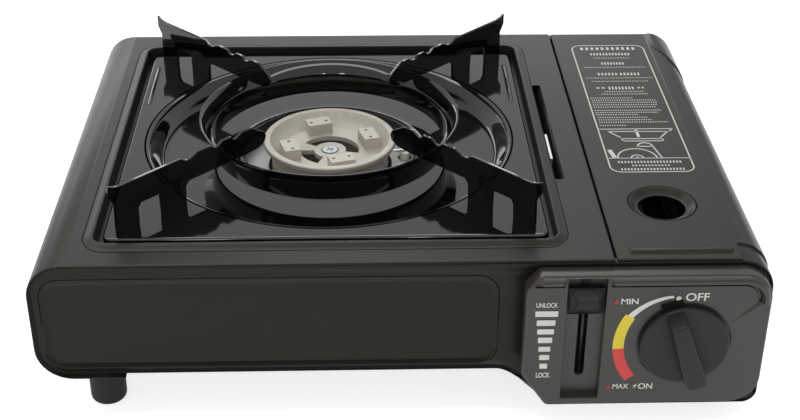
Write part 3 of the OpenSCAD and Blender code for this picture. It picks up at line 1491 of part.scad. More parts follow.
// Rubber foot with a rounded lower edge and a deep hole for its screw
module foot(x, y, h, seat) {
    color([0.12, 0.12, 0.12]) translate([x, y, 0]) difference() {
        rotate_extrude() polygon(concat(
            [[0, 0], [foot_r - foot_dome, 0]],
            [for (a = [15:15:75]) [foot_r - foot_dome + foot_dome*sin(a), foot_dome - foot_dome*cos(a)]],
            [[foot_r, foot_dome], [foot_r, h], [0, h]]));
        rod_z(0, 0, -1, seat, foot_bore_r);
        rod_z(0, 0, -1, h + 1, screw_r + screw_gap);
    }
}

left_seat = burner_floor_z - 4;
right_seat = base_under_z - 2.4;

module foot_front_left() { foot(foot_left_x, foot_front_y, burner_floor_z, left_seat); }
module foot_rear_left() { foot(foot_left_x, foot_rear_y, burner_floor_z, left_seat); }
module foot_front_right() { foot(foot_right_x, foot_front_y, base_under_z, right_seat); }
module foot_rear_right() { foot(foot_right_x, foot_rear_y, base_under_z, right_seat); }

module foot_screws() {
    color("silver") for (y = [foot_front_y, foot_rear_y]) {
        screw_up(foot_left_x, y, left_seat, base_left_z + 2);
        screw_up(foot_right_x, y, right_seat, base_bay_z + 2);
    }
}

casing_screw_x = left_x + bend_r + 5;
casing_screw_y = [front_y + casing_d/4, (front_y + back_y)/2, back_y - casing_d/4];

// Screws in the bottom flange and round the back panel
module casing_screws() {
    color("silver") {
        for (y = casing_screw_y) screw_up(casing_screw_x, y, burner_floor_z, base_left_z + 2);
        for (p = rear_screw_at) translate([0, 2*(back_y - rim_d), 0]) mirror([0, 1, 0]) {
            rod_y(p[0], p[1], back_y - rim_d - 0.9, back_y - rim_d, screw_head_r);
            rod_y(p[0], p[1], back_y - rim_d - eps, back_y - rim_d + 6, screw_r);
        }
    }
}

body_shell();
front_panel();
rear_panel();
base_plate();
bay_partition();
cartridge_lid();
lid_hinge_pins();
drip_tray();
support_ring();
support_arm_front_left();
support_arm_front_right();
support_arm_rear_left();
support_arm_rear_right();
burner_head();
burner_cup();
burner_screw();
mixing_tube();
burner_bracket();
bracket_screws();
reflector_plate();
heat_plate();
valve_body();
valve_bracket();
valve_screws();
diaphragm_cover();
diaphragm_screws();
socket_seal();
valve_spindle();
control_knob();
gas_pipe();
gas_jet();
piezo_igniter();
ignition_lead();
lead_grommet();
ceramic_sleeve();
spark_electrode();
electrode_bracket();
control_panel();
panel_screws();
lock_lever();
lever_plate();
cam_pin();
cartridge_carriage();
carriage_rails();
return_spring();
cartridge_cradle_front();
cartridge_cradle_rear();
foot_front_left();
foot_rear_left();
foot_front_right();
foot_rear_right();
foot_screws();
casing_screws();
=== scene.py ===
"""Butane cassette stove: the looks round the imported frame."""
import json
import math

import bmesh
import bpy
from mathutils import Matrix, Vector

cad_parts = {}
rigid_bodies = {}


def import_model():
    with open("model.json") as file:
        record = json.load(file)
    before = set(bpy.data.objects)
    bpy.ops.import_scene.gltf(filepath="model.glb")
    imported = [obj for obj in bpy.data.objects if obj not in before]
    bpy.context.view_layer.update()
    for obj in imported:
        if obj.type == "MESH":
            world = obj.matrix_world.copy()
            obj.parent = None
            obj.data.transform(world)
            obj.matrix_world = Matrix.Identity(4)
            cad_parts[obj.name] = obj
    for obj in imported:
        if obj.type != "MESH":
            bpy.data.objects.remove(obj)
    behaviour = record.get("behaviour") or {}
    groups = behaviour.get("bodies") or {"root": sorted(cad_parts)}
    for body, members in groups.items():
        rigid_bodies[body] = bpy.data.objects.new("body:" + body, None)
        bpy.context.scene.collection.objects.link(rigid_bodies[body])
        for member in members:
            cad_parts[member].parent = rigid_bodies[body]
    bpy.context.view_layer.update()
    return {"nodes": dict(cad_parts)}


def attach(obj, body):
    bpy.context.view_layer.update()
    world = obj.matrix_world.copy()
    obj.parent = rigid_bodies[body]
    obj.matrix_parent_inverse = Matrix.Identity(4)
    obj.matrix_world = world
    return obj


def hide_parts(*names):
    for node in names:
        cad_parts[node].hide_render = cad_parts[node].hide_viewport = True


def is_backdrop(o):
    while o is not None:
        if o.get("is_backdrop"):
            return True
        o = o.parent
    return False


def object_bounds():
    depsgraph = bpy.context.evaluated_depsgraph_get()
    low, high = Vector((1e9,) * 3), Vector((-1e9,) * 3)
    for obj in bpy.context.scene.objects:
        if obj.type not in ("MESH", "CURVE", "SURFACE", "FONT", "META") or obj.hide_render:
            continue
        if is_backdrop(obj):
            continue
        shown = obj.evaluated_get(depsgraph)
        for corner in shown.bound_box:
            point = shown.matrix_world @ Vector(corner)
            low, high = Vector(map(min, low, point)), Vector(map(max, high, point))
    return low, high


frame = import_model()
scene = bpy.context.scene
scene.view_settings.view_transform = "Standard"

# ---- Camera ----
# A long lens on a stand 0.65 m in front of the stove's middle and 0.43 m above the table,
# looking down at it.
camera_data = bpy.data.cameras.new("camera")
camera_data.sensor_width = 36
camera_data.lens = 63.62
camera = bpy.data.objects.new("camera", camera_data)
camera.location = (-0.0188, -0.65453, 0.43346)
camera.rotation_euler = [math.radians(a) for a in (59.42655, -0.295316, -1.641536)]
scene.collection.objects.link(camera)
scene.camera = camera

# ---- Studio ----
# A white paper floor that runs back without a corner. The floor and the room are white to the
# camera and in reflections, and dimmer as a source of light, so dark paint keeps its tone.
floor_half = 6.0
bm = bmesh.new()
bmesh.ops.create_grid(bm, x_segments=8, y_segments=8, size=floor_half)
floor_mesh = bpy.data.meshes.new("floor")
bm.to_mesh(floor_mesh)
bm.free()
floor = bpy.data.objects.new("floor", floor_mesh)
scene.collection.objects.link(floor)
floor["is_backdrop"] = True


def straight_rays(tree):
    """1 for camera, mirror and see-through rays, 0 for light that is scattered."""
    path = tree.nodes.new("ShaderNodeLightPath")
    either = path.outputs["Is Camera Ray"]
    for other in ("Is Glossy Ray", "Is Transmission Ray"):
        larger = tree.nodes.new("ShaderNodeMath")
        larger.operation = "MAXIMUM"
        tree.links.new(either, larger.inputs[0])
        tree.links.new(path.outputs[other], larger.inputs[1])
        either = larger.outputs[0]
    return either


paper = bpy.data.materials.new("floor_paper")
paper.use_nodes = True
paper_shader = paper.node_tree.nodes["Principled BSDF"]
paper_shader.inputs["Base Color"].default_value = (0.8, 0.8, 0.8, 1)
paper_shader.inputs["Roughness"].default_value = 0.9
paper_shader.inputs["Specular IOR Level"].default_value = 0.0
paper_shader.inputs["Emission Color"].default_value = (1, 1, 1, 1)
paper_glow = paper.node_tree.nodes.new("ShaderNodeMath")
paper_glow.operation = "MULTIPLY"
paper_glow.inputs[1].default_value = 0.74
paper.node_tree.links.new(straight_rays(paper.node_tree), paper_glow.inputs[0])
paper.node_tree.links.new(paper_glow.outputs[0], paper_shader.inputs["Emission Strength"])
floor_mesh.materials.append(paper)

room = bpy.data.worlds.new("room")
scene.world = room
room.use_nodes = True
nodes, links = room.node_tree.nodes, room.node_tree.links
nodes.clear()
fill = nodes.new("ShaderNodeBackground")
fill.inputs["Color"].default_value = (1, 1, 1, 1)
fill.inputs["Strength"].default_value = 0.46
white = nodes.new("ShaderNodeBackground")
white.inputs["Color"].default_value = (1, 1, 1, 1)
white.inputs["Strength"].default_value = 1.0
chosen = nodes.new("ShaderNodeMixShader")
links.new(straight_rays(room.node_tree), chosen.inputs[0])
links.new(fill.outputs[0], chosen.inputs[1])
links.new(white.outputs[0], chosen.inputs[2])
room_out = nodes.new("ShaderNodeOutputWorld")
links.new(chosen.outputs[0], room_out.inputs["Surface"])


def soft_box(name, place, aim, width, height, watts):
    """Lamp with a soft rectangular face, aimed at a point."""
    lamp = bpy.data.lights.new(name, "AREA")
    lamp.shape = "RECTANGLE"
    lamp.size, lamp.size_y = width, height
    lamp.energy = watts
    holder = bpy.data.objects.new(name, lamp)
    holder.location = place
    holder.rotation_euler = (Vector(aim) - Vector(place)).to_track_quat("-Z", "Y").to_euler()
    holder.visible_camera = False
    scene.collection.objects.link(holder)


soft_box("ceiling_light", (-0.35, 0.75, 1.15), (0, 0, 0), 1.6, 0.25, 6.5)
soft_box("rear_light", (-0.5, 2.0, 0.62), (0, 0.1, 0.05), 2.4, 0.3, 6.5)
soft_box("top_strip", (0, -0.3, 1.25), (0, -0.1, 0.05), 2.0, 0.12, 4)
soft_box("front_lamp_left", (-0.40, -1.6, 1.12), (0, 0, 0.08), 0.14, 0.2, 2.4)
soft_box("front_lamp_right", (0.14, -1.66, 1.14), (0, 0, 0.08), 0.06, 0.2, 1.2)

# Two dark cards, seen only in the shine of what faces the front or the right.
card_black = bpy.data.materials.new("card_black")
card_black.use_nodes = True
card_shader = card_black.node_tree.nodes["Principled BSDF"]
card_shader.inputs["Base Color"].default_value = (0.01, 0.01, 0.01, 1)
card_shader.inputs["Specular IOR Level"].default_value = 0.0
for name, wide, high, (x, y), turn in (("front_card", 4.0, 0.7, (0, -1.5), 0),
                                       ("right_card", 2.6, 0.36, (1.5, 1.1), 125)):
    bm = bmesh.new()
    bmesh.ops.create_grid(bm, x_segments=1, y_segments=1, size=0.5)
    bmesh.ops.scale(bm, vec=(wide, high, 1), verts=bm.verts)
    bmesh.ops.rotate(bm, verts=bm.verts, cent=(0, 0, 0), matrix=Matrix.Rotation(math.pi/2, 3, "X"))
    bmesh.ops.rotate(bm, verts=bm.verts, cent=(0, 0, 0),
                     matrix=Matrix.Rotation(math.radians(turn), 3, "Z"))
    bmesh.ops.translate(bm, vec=(x, y, high/2), verts=bm.verts)
    card_mesh = bpy.data.meshes.new(name)
    bm.to_mesh(card_mesh)
    bm.free()
    card_mesh.materials.append(card_black)
    card = bpy.data.objects.new(name, card_mesh)
    scene.collection.objects.link(card)
    card.visible_camera = False
    card.visible_diffuse = False
    card.visible_transmission = False
    card.visible_shadow = False
    card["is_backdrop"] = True


# ---- Floor plate ----
# One sheet of galvanised steel, painted black, bent down into the deep side that holds the
# cartridge. Every other piece is screwed to it or hooks into it.
def tone(r, g, b):
    """Screen colour, 0 to 255, as the linear colour that a shader takes."""
    return [((c/255 + 0.055)/1.055)**2.4 if c > 10 else c/255/12.92 for c in (r, g, b)] + [1]


def surface_finish(name, colour, rough, spread=0.06, grain=2200, bump=0.04, metal=0.0,
                   specular=0.5, coat=0.0, mottle=60):
    """Finish with a fine grain in its relief and a slow drift in its colour and gloss."""
    made = bpy.data.materials.new(name)
    made.use_nodes = True
    nodes, links = made.node_tree.nodes, made.node_tree.links
    shader = nodes["Principled BSDF"]
    shader.inputs["Metallic"].default_value = metal
    shader.inputs["Specular IOR Level"].default_value = specular
    shader.inputs["Coat Weight"].default_value = coat
    shader.inputs["Coat Roughness"].default_value = 0.05
    place = nodes.new("ShaderNodeTexCoord")
    drift = nodes.new("ShaderNodeTexNoise")
    drift.inputs["Scale"].default_value = mottle
    drift.inputs["Detail"].default_value = 4
    links.new(place.outputs["Object"], drift.inputs["Vector"])
    shades = nodes.new("ShaderNodeValToRGB")
    shades.color_ramp.elements[0].position = 0.3
    shades.color_ramp.elements[1].position = 0.7
    for element, k in zip(shades.color_ramp.elements, (1 - spread, 1 + spread)):
        element.color = [min(c*k, 1) for c in colour[:3]] + [1]
    links.new(drift.outputs["Fac"], shades.inputs[0])
    links.new(shades.outputs[0], shader.inputs["Base Color"])
    gloss = nodes.new("ShaderNodeMapRange")
    gloss.inputs["To Min"].default_value = max(rough - 0.05, 0.02)
    gloss.inputs["To Max"].default_value = rough + 0.05
    links.new(drift.outputs["Fac"], gloss.inputs["Value"])
    links.new(gloss.outputs[0], shader.inputs["Roughness"])
    texture = nodes.new("ShaderNodeTexNoise")
    texture.inputs["Scale"].default_value = grain
    texture.inputs["Detail"].default_value = 2
    links.new(place.outputs["Object"], texture.inputs["Vector"])
    relief = nodes.new("ShaderNodeBump")
    relief.inputs["Strength"].default_value = bump
    relief.inputs["Distance"].default_value = 0.0003
    links.new(texture.outputs["Fac"], relief.inputs["Height"])
    links.new(relief.outputs[0], shader.inputs["Normal"])
    return made


def dress(material, *names):
    """Gives CAD pieces a finish."""
    for name in names:
        mesh = frame["nodes"][name].data
        mesh.materials.clear()
        mesh.materials.append(material)


floor_paint = surface_finish("floor_paint", tone(44, 44, 43), 0.5)
dress(floor_paint, "base_plate")


# ---- Casing wrap ----
# One sheet of steel that makes the top, the left side and a flange underneath, with the tray's
# well drawn down into it inside a raised bead. Black powder coat with a fine texture.
def finished(name, bm, material, body, slot, *stands_for, crease=20):
    """Turns a mesh drawn in millimetres into a piece that rides on a body."""
    bmesh.ops.scale(bm, vec=(0.001, 0.001, 0.001), verts=bm.verts)
    mesh = bpy.data.meshes.new(name)
    bm.to_mesh(mesh)
    bm.free()
    mesh.shade_smooth()
    mesh.set_sharp_from_angle(angle=math.radians(crease))
    mesh.materials.append(material)
    piece = bpy.data.objects.new(name, mesh)
    scene.collection.objects.link(piece)
    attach(piece, body)
    if stands_for:
        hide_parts(*stands_for)
    return piece


def flat_loop(bm, x0, y0, x1, y1, r, z, steps=6):
    """Level rectangle with round corners, facing up."""
    before = set(bm.faces)
    made = bmesh.ops.create_grid(bm, x_segments=1, y_segments=1, size=0.5)["verts"]
    bmesh.ops.scale(bm, vec=(x1 - x0, y1 - y0, 1), verts=made)
    bmesh.ops.translate(bm, vec=((x0 + x1)/2, (y0 + y1)/2, z), verts=made)
    bmesh.ops.bevel(bm, geom=made, offset=r, segments=steps, profile=0.5, affect="VERTICES",
                    material=-1)
    return next(f for f in bm.faces if f not in before)


def flat_shape(bm, corners, z=0):
    """Level face drawn from its corners (x, y, radius), facing up."""
    before = set(bm.faces)
    verts = [bm.verts.new((x, y, z)) for x, y, r in corners]
    bm.faces.new(verts)
    for vert, (x, y, r) in zip(verts, corners):
        if r:
            bmesh.ops.bevel(bm, geom=[vert], offset=r, segments=10 if r > 5 else 3, profile=0.5,
                            affect="VERTICES", material=-1)
    face = next(f for f in bm.faces if f not in before)
    face.normal_update()
    if face.normal.z < 0:
        face.normal_flip()
    return face


def flat_disc(bm, x, y, r, z, steps=96):
    """Level round face, facing up."""
    made = bmesh.ops.create_circle(bm, cap_ends=True, radius=r, segments=steps)["verts"]
    bmesh.ops.translate(bm, vec=(x, y, z), verts=made)
    return made[0].link_faces[0]


def stepped(bm, face, steps):
    """Draws a face in by steps of (width, rise), or of (width, rise, shift along y)."""
    for width, rise, *shift in steps:
        bmesh.ops.inset_region(bm, faces=[face], thickness=width, depth=rise,
                               use_even_offset=True, use_boundary=True)
        if shift:
            bmesh.ops.translate(bm, vec=(0, shift[0], 0), verts=face.verts)
    return face


def pulled(bm, face, shift):
    """Extrudes a face and moves it."""
    made = bmesh.ops.extrude_face_region(bm, geom=[face])["geom"]
    far = next(g for g in made if isinstance(g, bmesh.types.BMFace))
    if face.is_valid:
        bmesh.ops.delete(bm, geom=[face], context="FACES_ONLY")
    bmesh.ops.translate(bm, vec=shift, verts=far.verts)
    return far


def without(bm, faces):
    """Drops faces and leaves their edges."""
    bmesh.ops.delete(bm, geom=faces, context="FACES_ONLY")


def drawn_out(bm, edges, shifts):
    """Extrudes a line of edges again and again, by each shift in turn."""
    for shift in shifts:
        made = bmesh.ops.extrude_edge_only(bm, edges=edges)["geom"]
        verts = [g for g in made if isinstance(g, bmesh.types.BMVert)]
        bmesh.ops.translate(bm, vec=shift, verts=verts)
        edges = [g for g in made if isinstance(g, bmesh.types.BMEdge)
                 and all(v in verts for v in g.verts)]


def casing_outline(bm):
    """The casing's outline lying flat: x to the right, its height along y."""
    return flat_shape(bm, [(-casing_half, casing_top, 17), (-casing_half, burner_under, 17),
                           (54.5, burner_under, 11), (68, bay_under, 2),
                           (casing_half, bay_under, 8), (casing_half, casing_top, 17)])


def stood_up(bm, y):
    """Turns what was drawn lying flat to face the front, at the depth y."""
    bmesh.ops.rotate(bm, verts=bm.verts, cent=(0, 0, 0), matrix=Matrix.Rotation(math.pi/2, 3, "X"))
    bmesh.ops.translate(bm, verts=bm.verts, vec=(0, y, 0))


def casing_block(bm, front, back):
    """Sides of the casing's outline with round rims, open at the ends and along the top."""
    cap = casing_outline(bm)
    stood_up(bm, front)
    made = bmesh.ops.extrude_face_region(bm, geom=[cap])["geom"]
    far = next(g for g in made if isinstance(g, bmesh.types.BMFace))
    bmesh.ops.translate(bm, vec=(0, back - front, 0), verts=far.verts)
    bmesh.ops.recalc_face_normals(bm, faces=bm.faces)
    ends = [f for f in bm.faces if abs(f.normal.y) > 0.9]
    rims = list({e for f in ends for e in f.edges})
    bmesh.ops.bevel(bm, geom=rims, offset=roll, segments=3, profile=0.5, affect="EDGES",
                    material=-1)
    ends = sorted((f for f in bm.faces if abs(f.normal.y) > 0.99), key=lambda f: -f.calc_area())
    for end in ends[:2]:
        bmesh.ops.inset_region(bm, faces=[end], thickness=sheet - roll, depth=0,
                               use_even_offset=True)
    without(bm, ends[:2])
    top = max((f for f in bm.faces if f.normal.z > 0.99), key=lambda f: f.calc_area())
    without(bm, [stepped(bm, top, [(level_rim, 0)])])


def cut_at(bm, place, way, faces=None, drop=True):
    """Cuts the sheet at a plane and drops what lies on the side that the arrow points to."""
    faces = bm.faces[:] if faces is None else faces
    verts = {v for f in faces for v in f.verts}
    edges = {e for f in faces for e in f.edges}
    bmesh.ops.bisect_plane(bm, geom=[*verts, *edges, *faces], dist=0.0001, plane_co=place,
                           plane_no=way, clear_outer=drop)


def upright(bm):
    """Sets all faces the same way round, with the highest level one facing up."""
    bmesh.ops.recalc_face_normals(bm, faces=bm.faces)
    top = max((f for f in bm.faces if abs(f.normal.z) > 0.99),
              key=lambda f: f.calc_center_median().z)
    if top.normal.z < 0:
        bmesh.ops.reverse_faces(bm, faces=bm.faces)


def facing_front(bm):
    """Sets all faces the same way round, with the largest one facing the front."""
    bmesh.ops.recalc_face_normals(bm, faces=bm.faces)
    if max(bm.faces, key=lambda f: f.calc_area()).normal.y > 0:
        bmesh.ops.reverse_faces(bm, faces=bm.faces)


def sheet_metal(piece, thickness):
    """Gives a surface its thickness, inwards."""
    wall = piece.modifiers.new("sheet", "SOLIDIFY")
    wall.thickness = thickness/1000
    wall.offset = -1
    wall.use_even_offset = True


def top_opening(bm, x):
    """Edges round the missing part of the top plate, closed along the seam at x."""
    low, high = casing_front + roll + level_rim - 0.7, casing_back - roll - level_rim + 0.7
    level = [e for e in bm.edges if len(e.link_faces) == 1
             and all(abs(v.co.z - casing_top) < 0.01 and low < v.co.y < high for v in e.verts)]
    ends = sorted((v for v in {v for e in level for v in e.verts} if abs(v.co.x - x) < 0.01),
                  key=lambda v: v.co.y)
    level.append(bm.edges.new((ends[0], ends[-1])))
    return level


casing_half, casing_front, casing_back, casing_top = 171.5, -118, 138, 88.5
burner_under, bay_under = 25.5, 5.5
sheet, roll, level_rim = 0.8, 0.45, 1.4
seam = 96.2
edge_roll = ((0.4, 0, 0), (0.3, 0, -0.08), (0.22, 0, -0.24), (0.08, 0, -0.34))
roll_reach = sum(step[0] for step in edge_roll)
well = (-143.1, -99.5, 72.7, 118.7)
well_corner, bead_side, bead_front, flat_step = 6, 4.8, 6.4, 0.4
flange_end = -130.5
vent = (78.0, -42.5, 82.6, 66)
casing_paint = surface_finish("casing_paint", tone(35, 35, 33), 0.34, spread=0.05, bump=0.05,
                              specular=0.17)
paint_shader = casing_paint.node_tree.nodes["Principled BSDF"]
paint_shader.inputs["Specular Tint"].default_value = (1, 0.98, 0.87, 1)

bm = bmesh.new()
casing_block(bm, casing_front, casing_back)
cut_at(bm, (seam - roll_reach, 0, 0), (1, 0, 0))
low = [f for f in bm.faces if f.calc_center_median().z < burner_under + 4.2]
cut_at(bm, (flange_end, 0, 0), (1, 0, 0), low)
without(bm, [f for f in bm.faces if f.calc_center_median().x > flange_end
             and f.calc_center_median().z < casing_top - 5])
rim = top_opening(bm, seam - roll_reach)
reach = bead_side + flat_step
bead = flat_loop(bm, well[0] - reach, well[1] - reach, well[2] + reach, well[3] + reach,
                 well_corner + reach, casing_top)
rim += bead.edges[:]
inner = stepped(bm, bead, [(flat_step, 0), (0.6, 0.12), (1.2, 0.42), (1.0, 0.42), (0.6, 0.2),
                           (0.6, 0.08), (0.4, -0.08), (0.25, -0.25), (0.15, -0.4)])
inner = pulled(bm, inner, (0, 0, -6.9))
inner = stepped(bm, inner, [(0.3, -0.4), (7.7, 0)])
without(bm, [inner])
bead_verts = [v for v in bm.verts if well[1] - reach - 0.1 < v.co.y < well[1] - 0.001
              and well[0] - reach - 0.1 < v.co.x < well[2] + reach + 0.1
              and v.co.z > casing_top - 0.01]
bmesh.ops.scale(bm, vec=(1, bead_front/bead_side, 1), verts=bead_verts,
                space=Matrix.Translation((0, -well[1], 0)))
slot = flat_loop(bm, *vent, 1.5, casing_top, 3)
rim += slot.edges[:]
slot = pulled(bm, slot, (0, 0, -1.2))
without(bm, [slot])
bmesh.ops.triangle_fill(bm, edges=rim, use_beauty=True)
edge = [e for e in bm.edges if all(abs(v.co.x - seam + roll_reach) < 0.01
                                   and v.co.z > casing_top - 0.01 for v in e.verts)]
drawn_out(bm, edge, edge_roll + ((0, 0, -3.2), (4, 0, 0)))
upright(bm)
wrap = finished("casing_wrap", bm, casing_paint, "casing", "casing_paint", "body_shell")
sheet_metal(wrap, sheet)

# Louvre under the vent slot, folded down from its right edge.
bm = bmesh.new()
line = [bm.verts.new((vent[2] + 0.3, y, casing_top - 1.1)) for y in (vent[1] + 1, vent[3] - 1)]
drawn_out(bm, [bm.edges.new(line)], ((-0.3, 0, -0.5), (-2.2, 0, -8.5)))
louvre = finished("vent_louvre", bm, casing_paint, "casing", "casing_paint")
sheet_metal(louvre, sheet)


# ---- Wall, bridge and brackets ----
# Zinc-plated steel, folded and spot-welded: the wall beside the cartridge, the bridge that
# carries the burner, and the small brackets.
zinc = surface_finish("zinc_plate", tone(176, 179, 184), 0.34, spread=0.08, bump=0.03, metal=0.85,
                      mottle=110)
dress(zinc, "bay_partition", "burner_bracket", "valve_bracket", "electrode_bracket",
      "diaphragm_cover")

# ---- Mixing tube, burner cup and burner head ----
# A bent aluminium tube brings gas and air to a die-cast cup, and the die-cast head stands on it.
# The castings keep the fine pebbled skin of the mould.
aluminium = surface_finish("aluminium", tone(198, 199, 200), 0.3, metal=0.9, bump=0.02)
cast_aluminium = surface_finish("cast_aluminium", tone(184, 179, 168), 0.5, spread=0.05,
                                grain=900, bump=0.3, metal=0.2, specular=0.4, mottle=45)


def softened(name, node, radius, material, body, slot, segments=2, crease=20):
    """Copy of a CAD piece with its edges rounded, which stands for it."""
    bm = bmesh.new()
    bm.from_mesh(frame["nodes"][node].data)
    bmesh.ops.scale(bm, vec=(1000, 1000, 1000), verts=bm.verts)
    bmesh.ops.remove_doubles(bm, verts=bm.verts, dist=0.002)
    bmesh.ops.dissolve_limit(bm, angle_limit=math.radians(1), verts=bm.verts, edges=bm.edges,
                             delimit={"NORMAL"})
    edges = [e for e in bm.edges if len(e.link_faces) == 2
             and e.calc_face_angle() > math.radians(35)]
    bmesh.ops.bevel(bm, geom=edges, offset=radius, segments=segments, profile=0.5,
                    affect="EDGES", clamp_overlap=True, material=-1)
    return finished(name, bm, material, body, slot, node, crease=crease)


dress(aluminium, "mixing_tube", "heat_plate")
softened("burner_lower_cup", "burner_cup", 0.4, cast_aluminium, "casing", "cast_aluminium")
softened("burner_bowl", "burner_head", 0.7, cast_aluminium, "casing", "cast_aluminium")

# ---- Screws ----
# Bright steel screws that hold the burner, the valve, the panels and the feet, and the pin on the
# lever's plate that moves the carriage.
bright_steel = surface_finish("screw_steel", tone(196, 200, 206), 0.22, metal=1.0, bump=0.02)
dress(bright_steel, "burner_screw", "bracket_screws", "valve_screws", "diaphragm_screws",
      "panel_screws", "foot_screws", "casing_screws", "cam_pin")

# ---- Reflector plate ----
# Bright zinc-plated sheet round the burner, on four legs. It throws the heat up and keeps it off
# the works underneath.
bright_zinc = surface_finish("bright_zinc", tone(188, 188, 186), 0.38, spread=0.05, bump=0.02,
                             metal=0.6)
dress(bright_zinc, "reflector_plate")

# ---- Gas valve, pipe and jet ----
# Die-cast zinc valve with brass fittings, and a rubber seal that the cartridge docks on. Its
# bracket holds it behind the control panel.
die_cast = surface_finish("die_cast_zinc", tone(150, 152, 154), 0.42, grain=1200, bump=0.15,
                          metal=0.7)
brass = surface_finish("brass", tone(198, 166, 96), 0.28, metal=1.0, bump=0.02)
rubber = surface_finish("black_rubber", tone(40, 40, 40), 0.7, spread=0.1, bump=0.12,
                        specular=0.3)
dress(die_cast, "valve_body")
dress(brass, "gas_pipe", "gas_jet", "valve_spindle")
dress(rubber, "socket_seal", "lead_grommet")

# ---- Igniter ----
# Piezo cylinder in white plastic, a silicone lead, and a wire in a glazed sleeve at the burner.
# The end of the knob's turn strikes it.
white_plastic = surface_finish("white_plastic", tone(224, 222, 214), 0.4)
silicone = surface_finish("silicone_lead", tone(176, 38, 30), 0.5)
glaze = surface_finish("glazed_ceramic", tone(236, 232, 222), 0.15, coat=0.6)
dress(white_plastic, "piezo_igniter")
dress(silicone, "ignition_lead")
dress(glaze, "ceramic_sleeve")
dress(bright_steel, "spark_electrode")

# ---- Cartridge carriage ----
# Zinc-plated strip that slides in two folded rails and pushes the cartridge forwards, with the
# spring that draws it back and the two cradles that the cartridge lies in.
dress(zinc, "cartridge_carriage", "carriage_rails", "cartridge_cradle_front",
      "cartridge_cradle_rear", "lever_plate")
dress(bright_steel, "return_spring")

# ---- Front panel ----
# Pressed sheet that closes the front. Its border is folded forwards just inside the wrap, a long
# shallow field is pressed into it, and it curves back along its lower edge.
band_heights, band_end, band_drop, band_back = (33, 31.5, 30, 28.5, 27), 54, 7.5, 3.4
field, lever_opening, front_sheet = (-166.6, 29.6, 44.4, 80.6), (79.3, 19.5, 86.9, 83.5), 0.35
bm = bmesh.new()
plate = stepped(bm, casing_outline(bm), [(0.95, -4)])
without(bm, [f for f in bm.faces if f is not plate])
plate = stepped(bm, plate, [(0.0001, 3.4), (0.12, 0.35), (0.22, 0.22), (0.2, 0.03), (0.2, -0.08),
                            (0.15, -0.35), (0.15, -0.7), (0.35, -0.3), (0.8, 0)])
rim = plate.edges[:]
plate_y = plate.verts[0].co.z
without(bm, [plate])
press = flat_loop(bm, *field, 10.4, plate_y, 8)
rim += press.edges[:]
stepped(bm, press, [(0.4, 0), (0.25, -0.1), (0.45, -0.42, -0.2), (0.6, -0.65, -0.45),
                    (0.55, -0.5, -0.45), (0.45, -0.26, -0.3), (0.3, -0.07), (0.8, 0)])
opening = flat_loop(bm, *lever_opening, 1, plate_y)
rim += opening.edges[:]
without(bm, [opening])
bmesh.ops.triangle_fill(bm, edges=rim, use_beauty=True)
for height in band_heights:
    cut_at(bm, (0, height, 0), (0, 1, 0), drop=False)
for v in bm.verts:
    drop = band_heights[0] - v.co.y
    if drop > 0 and v.co.z < 0.2:
        near = min(max((band_end - v.co.x)/8, 0), 1)
        bmesh.ops.translate(bm, vec=(0, 0, -near*band_back*(drop/band_drop)**1.5), verts=[v])
stood_up(bm, casing_front)
facing_front(bm)
front = finished("front_plate", bm, casing_paint, "casing", "casing_paint", "front_panel")
sheet_metal(front, front_sheet)

# ---- Rear panel ----
# Pressed sheet that closes the back, with a row of slots that let air in to the burner. Screws
# along its lower edge hold it.
softened("rear_plate", "rear_panel", 0.3, casing_paint, "casing", "casing_paint")

# ---- Lid over the cartridge ----
# Bent sheet that turns on two rivets, stiffened by a rib along its front edge. It has a dished
# finger hole, and a framed notice is printed on it.
lid_left, lid_under = 97.3, 18
finger, dish_r = (126.9, -66.7), 16.8
lid_rib = (103.4, -112.4, 151.8, -107.6)
bm = bmesh.new()
casing_block(bm, casing_front + 0.5, casing_back - 0.5)
cut_at(bm, (lid_left + roll_reach, 0, 0), (-1, 0, 0))
cut_at(bm, (0, 0, lid_under), (0, 0, -1))
rim = top_opening(bm, lid_left + roll_reach)
dish = flat_disc(bm, *finger, dish_r, casing_top)
rim += dish.edges[:]
dish = stepped(bm, dish, [(0.6, 0), (0.5, -0.08), (0.6, -0.42), (1.3, -1.3), (0.9, -0.6),
                          (0.7, -0.15), (0.6, 0)])
without(bm, [pulled(bm, dish, (0, 0, -0.9))])
rib = flat_loop(bm, *lid_rib, 1.9, casing_top, 5)
rim += rib.edges[:]
stepped(bm, rib, [(0.3, 0), (0.35, 0.18), (0.4, 0.42), (0.3, 0.26), (0.2, 0.06)])
bmesh.ops.triangle_fill(bm, edges=rim, use_beauty=True)
edge = [e for e in bm.edges if all(abs(v.co.x - lid_left - roll_reach) < 0.01
                                   and v.co.z > casing_top - 0.01 for v in e.verts)]
drawn_out(bm, edge, [(-x, 0, z) for x, y, z in edge_roll] + [(0, 0, -0.6)])

# At its front right corner a strip is set back, also round the bend.
bend_r = 17
bend_x, strip_y, strip_drop = casing_half - bend_r, -104, 0.9
for place, way, back in (((0, strip_y, 0), (0, 1, 0), casing_back),
                         ((0, strip_y + 0.5, 0), (0, 1, 0), casing_back),
                         ((bend_x + 0.6, 0, 0), (1, 0, 0), strip_y + 0.5)):
    cut_at(bm, place, way, [f for f in bm.faces if f.calc_center_median().x > bend_x
                            and f.calc_center_median().y < back], drop=False)
strip = [v for v in bm.verts if v.co.x > bend_x + 0.5 and v.co.y < strip_y + 0.01]
bent = [v for v in strip if v.co.z > casing_top - bend_r]
bmesh.ops.scale(bm, vec=(1 - strip_drop/bend_r, 1, 1 - strip_drop/bend_r), verts=bent,
                space=Matrix.Translation((-bend_x, 0, bend_r - casing_top)))
bmesh.ops.translate(bm, vec=(-strip_drop, 0, 0), verts=[v for v in strip if v not in bent])

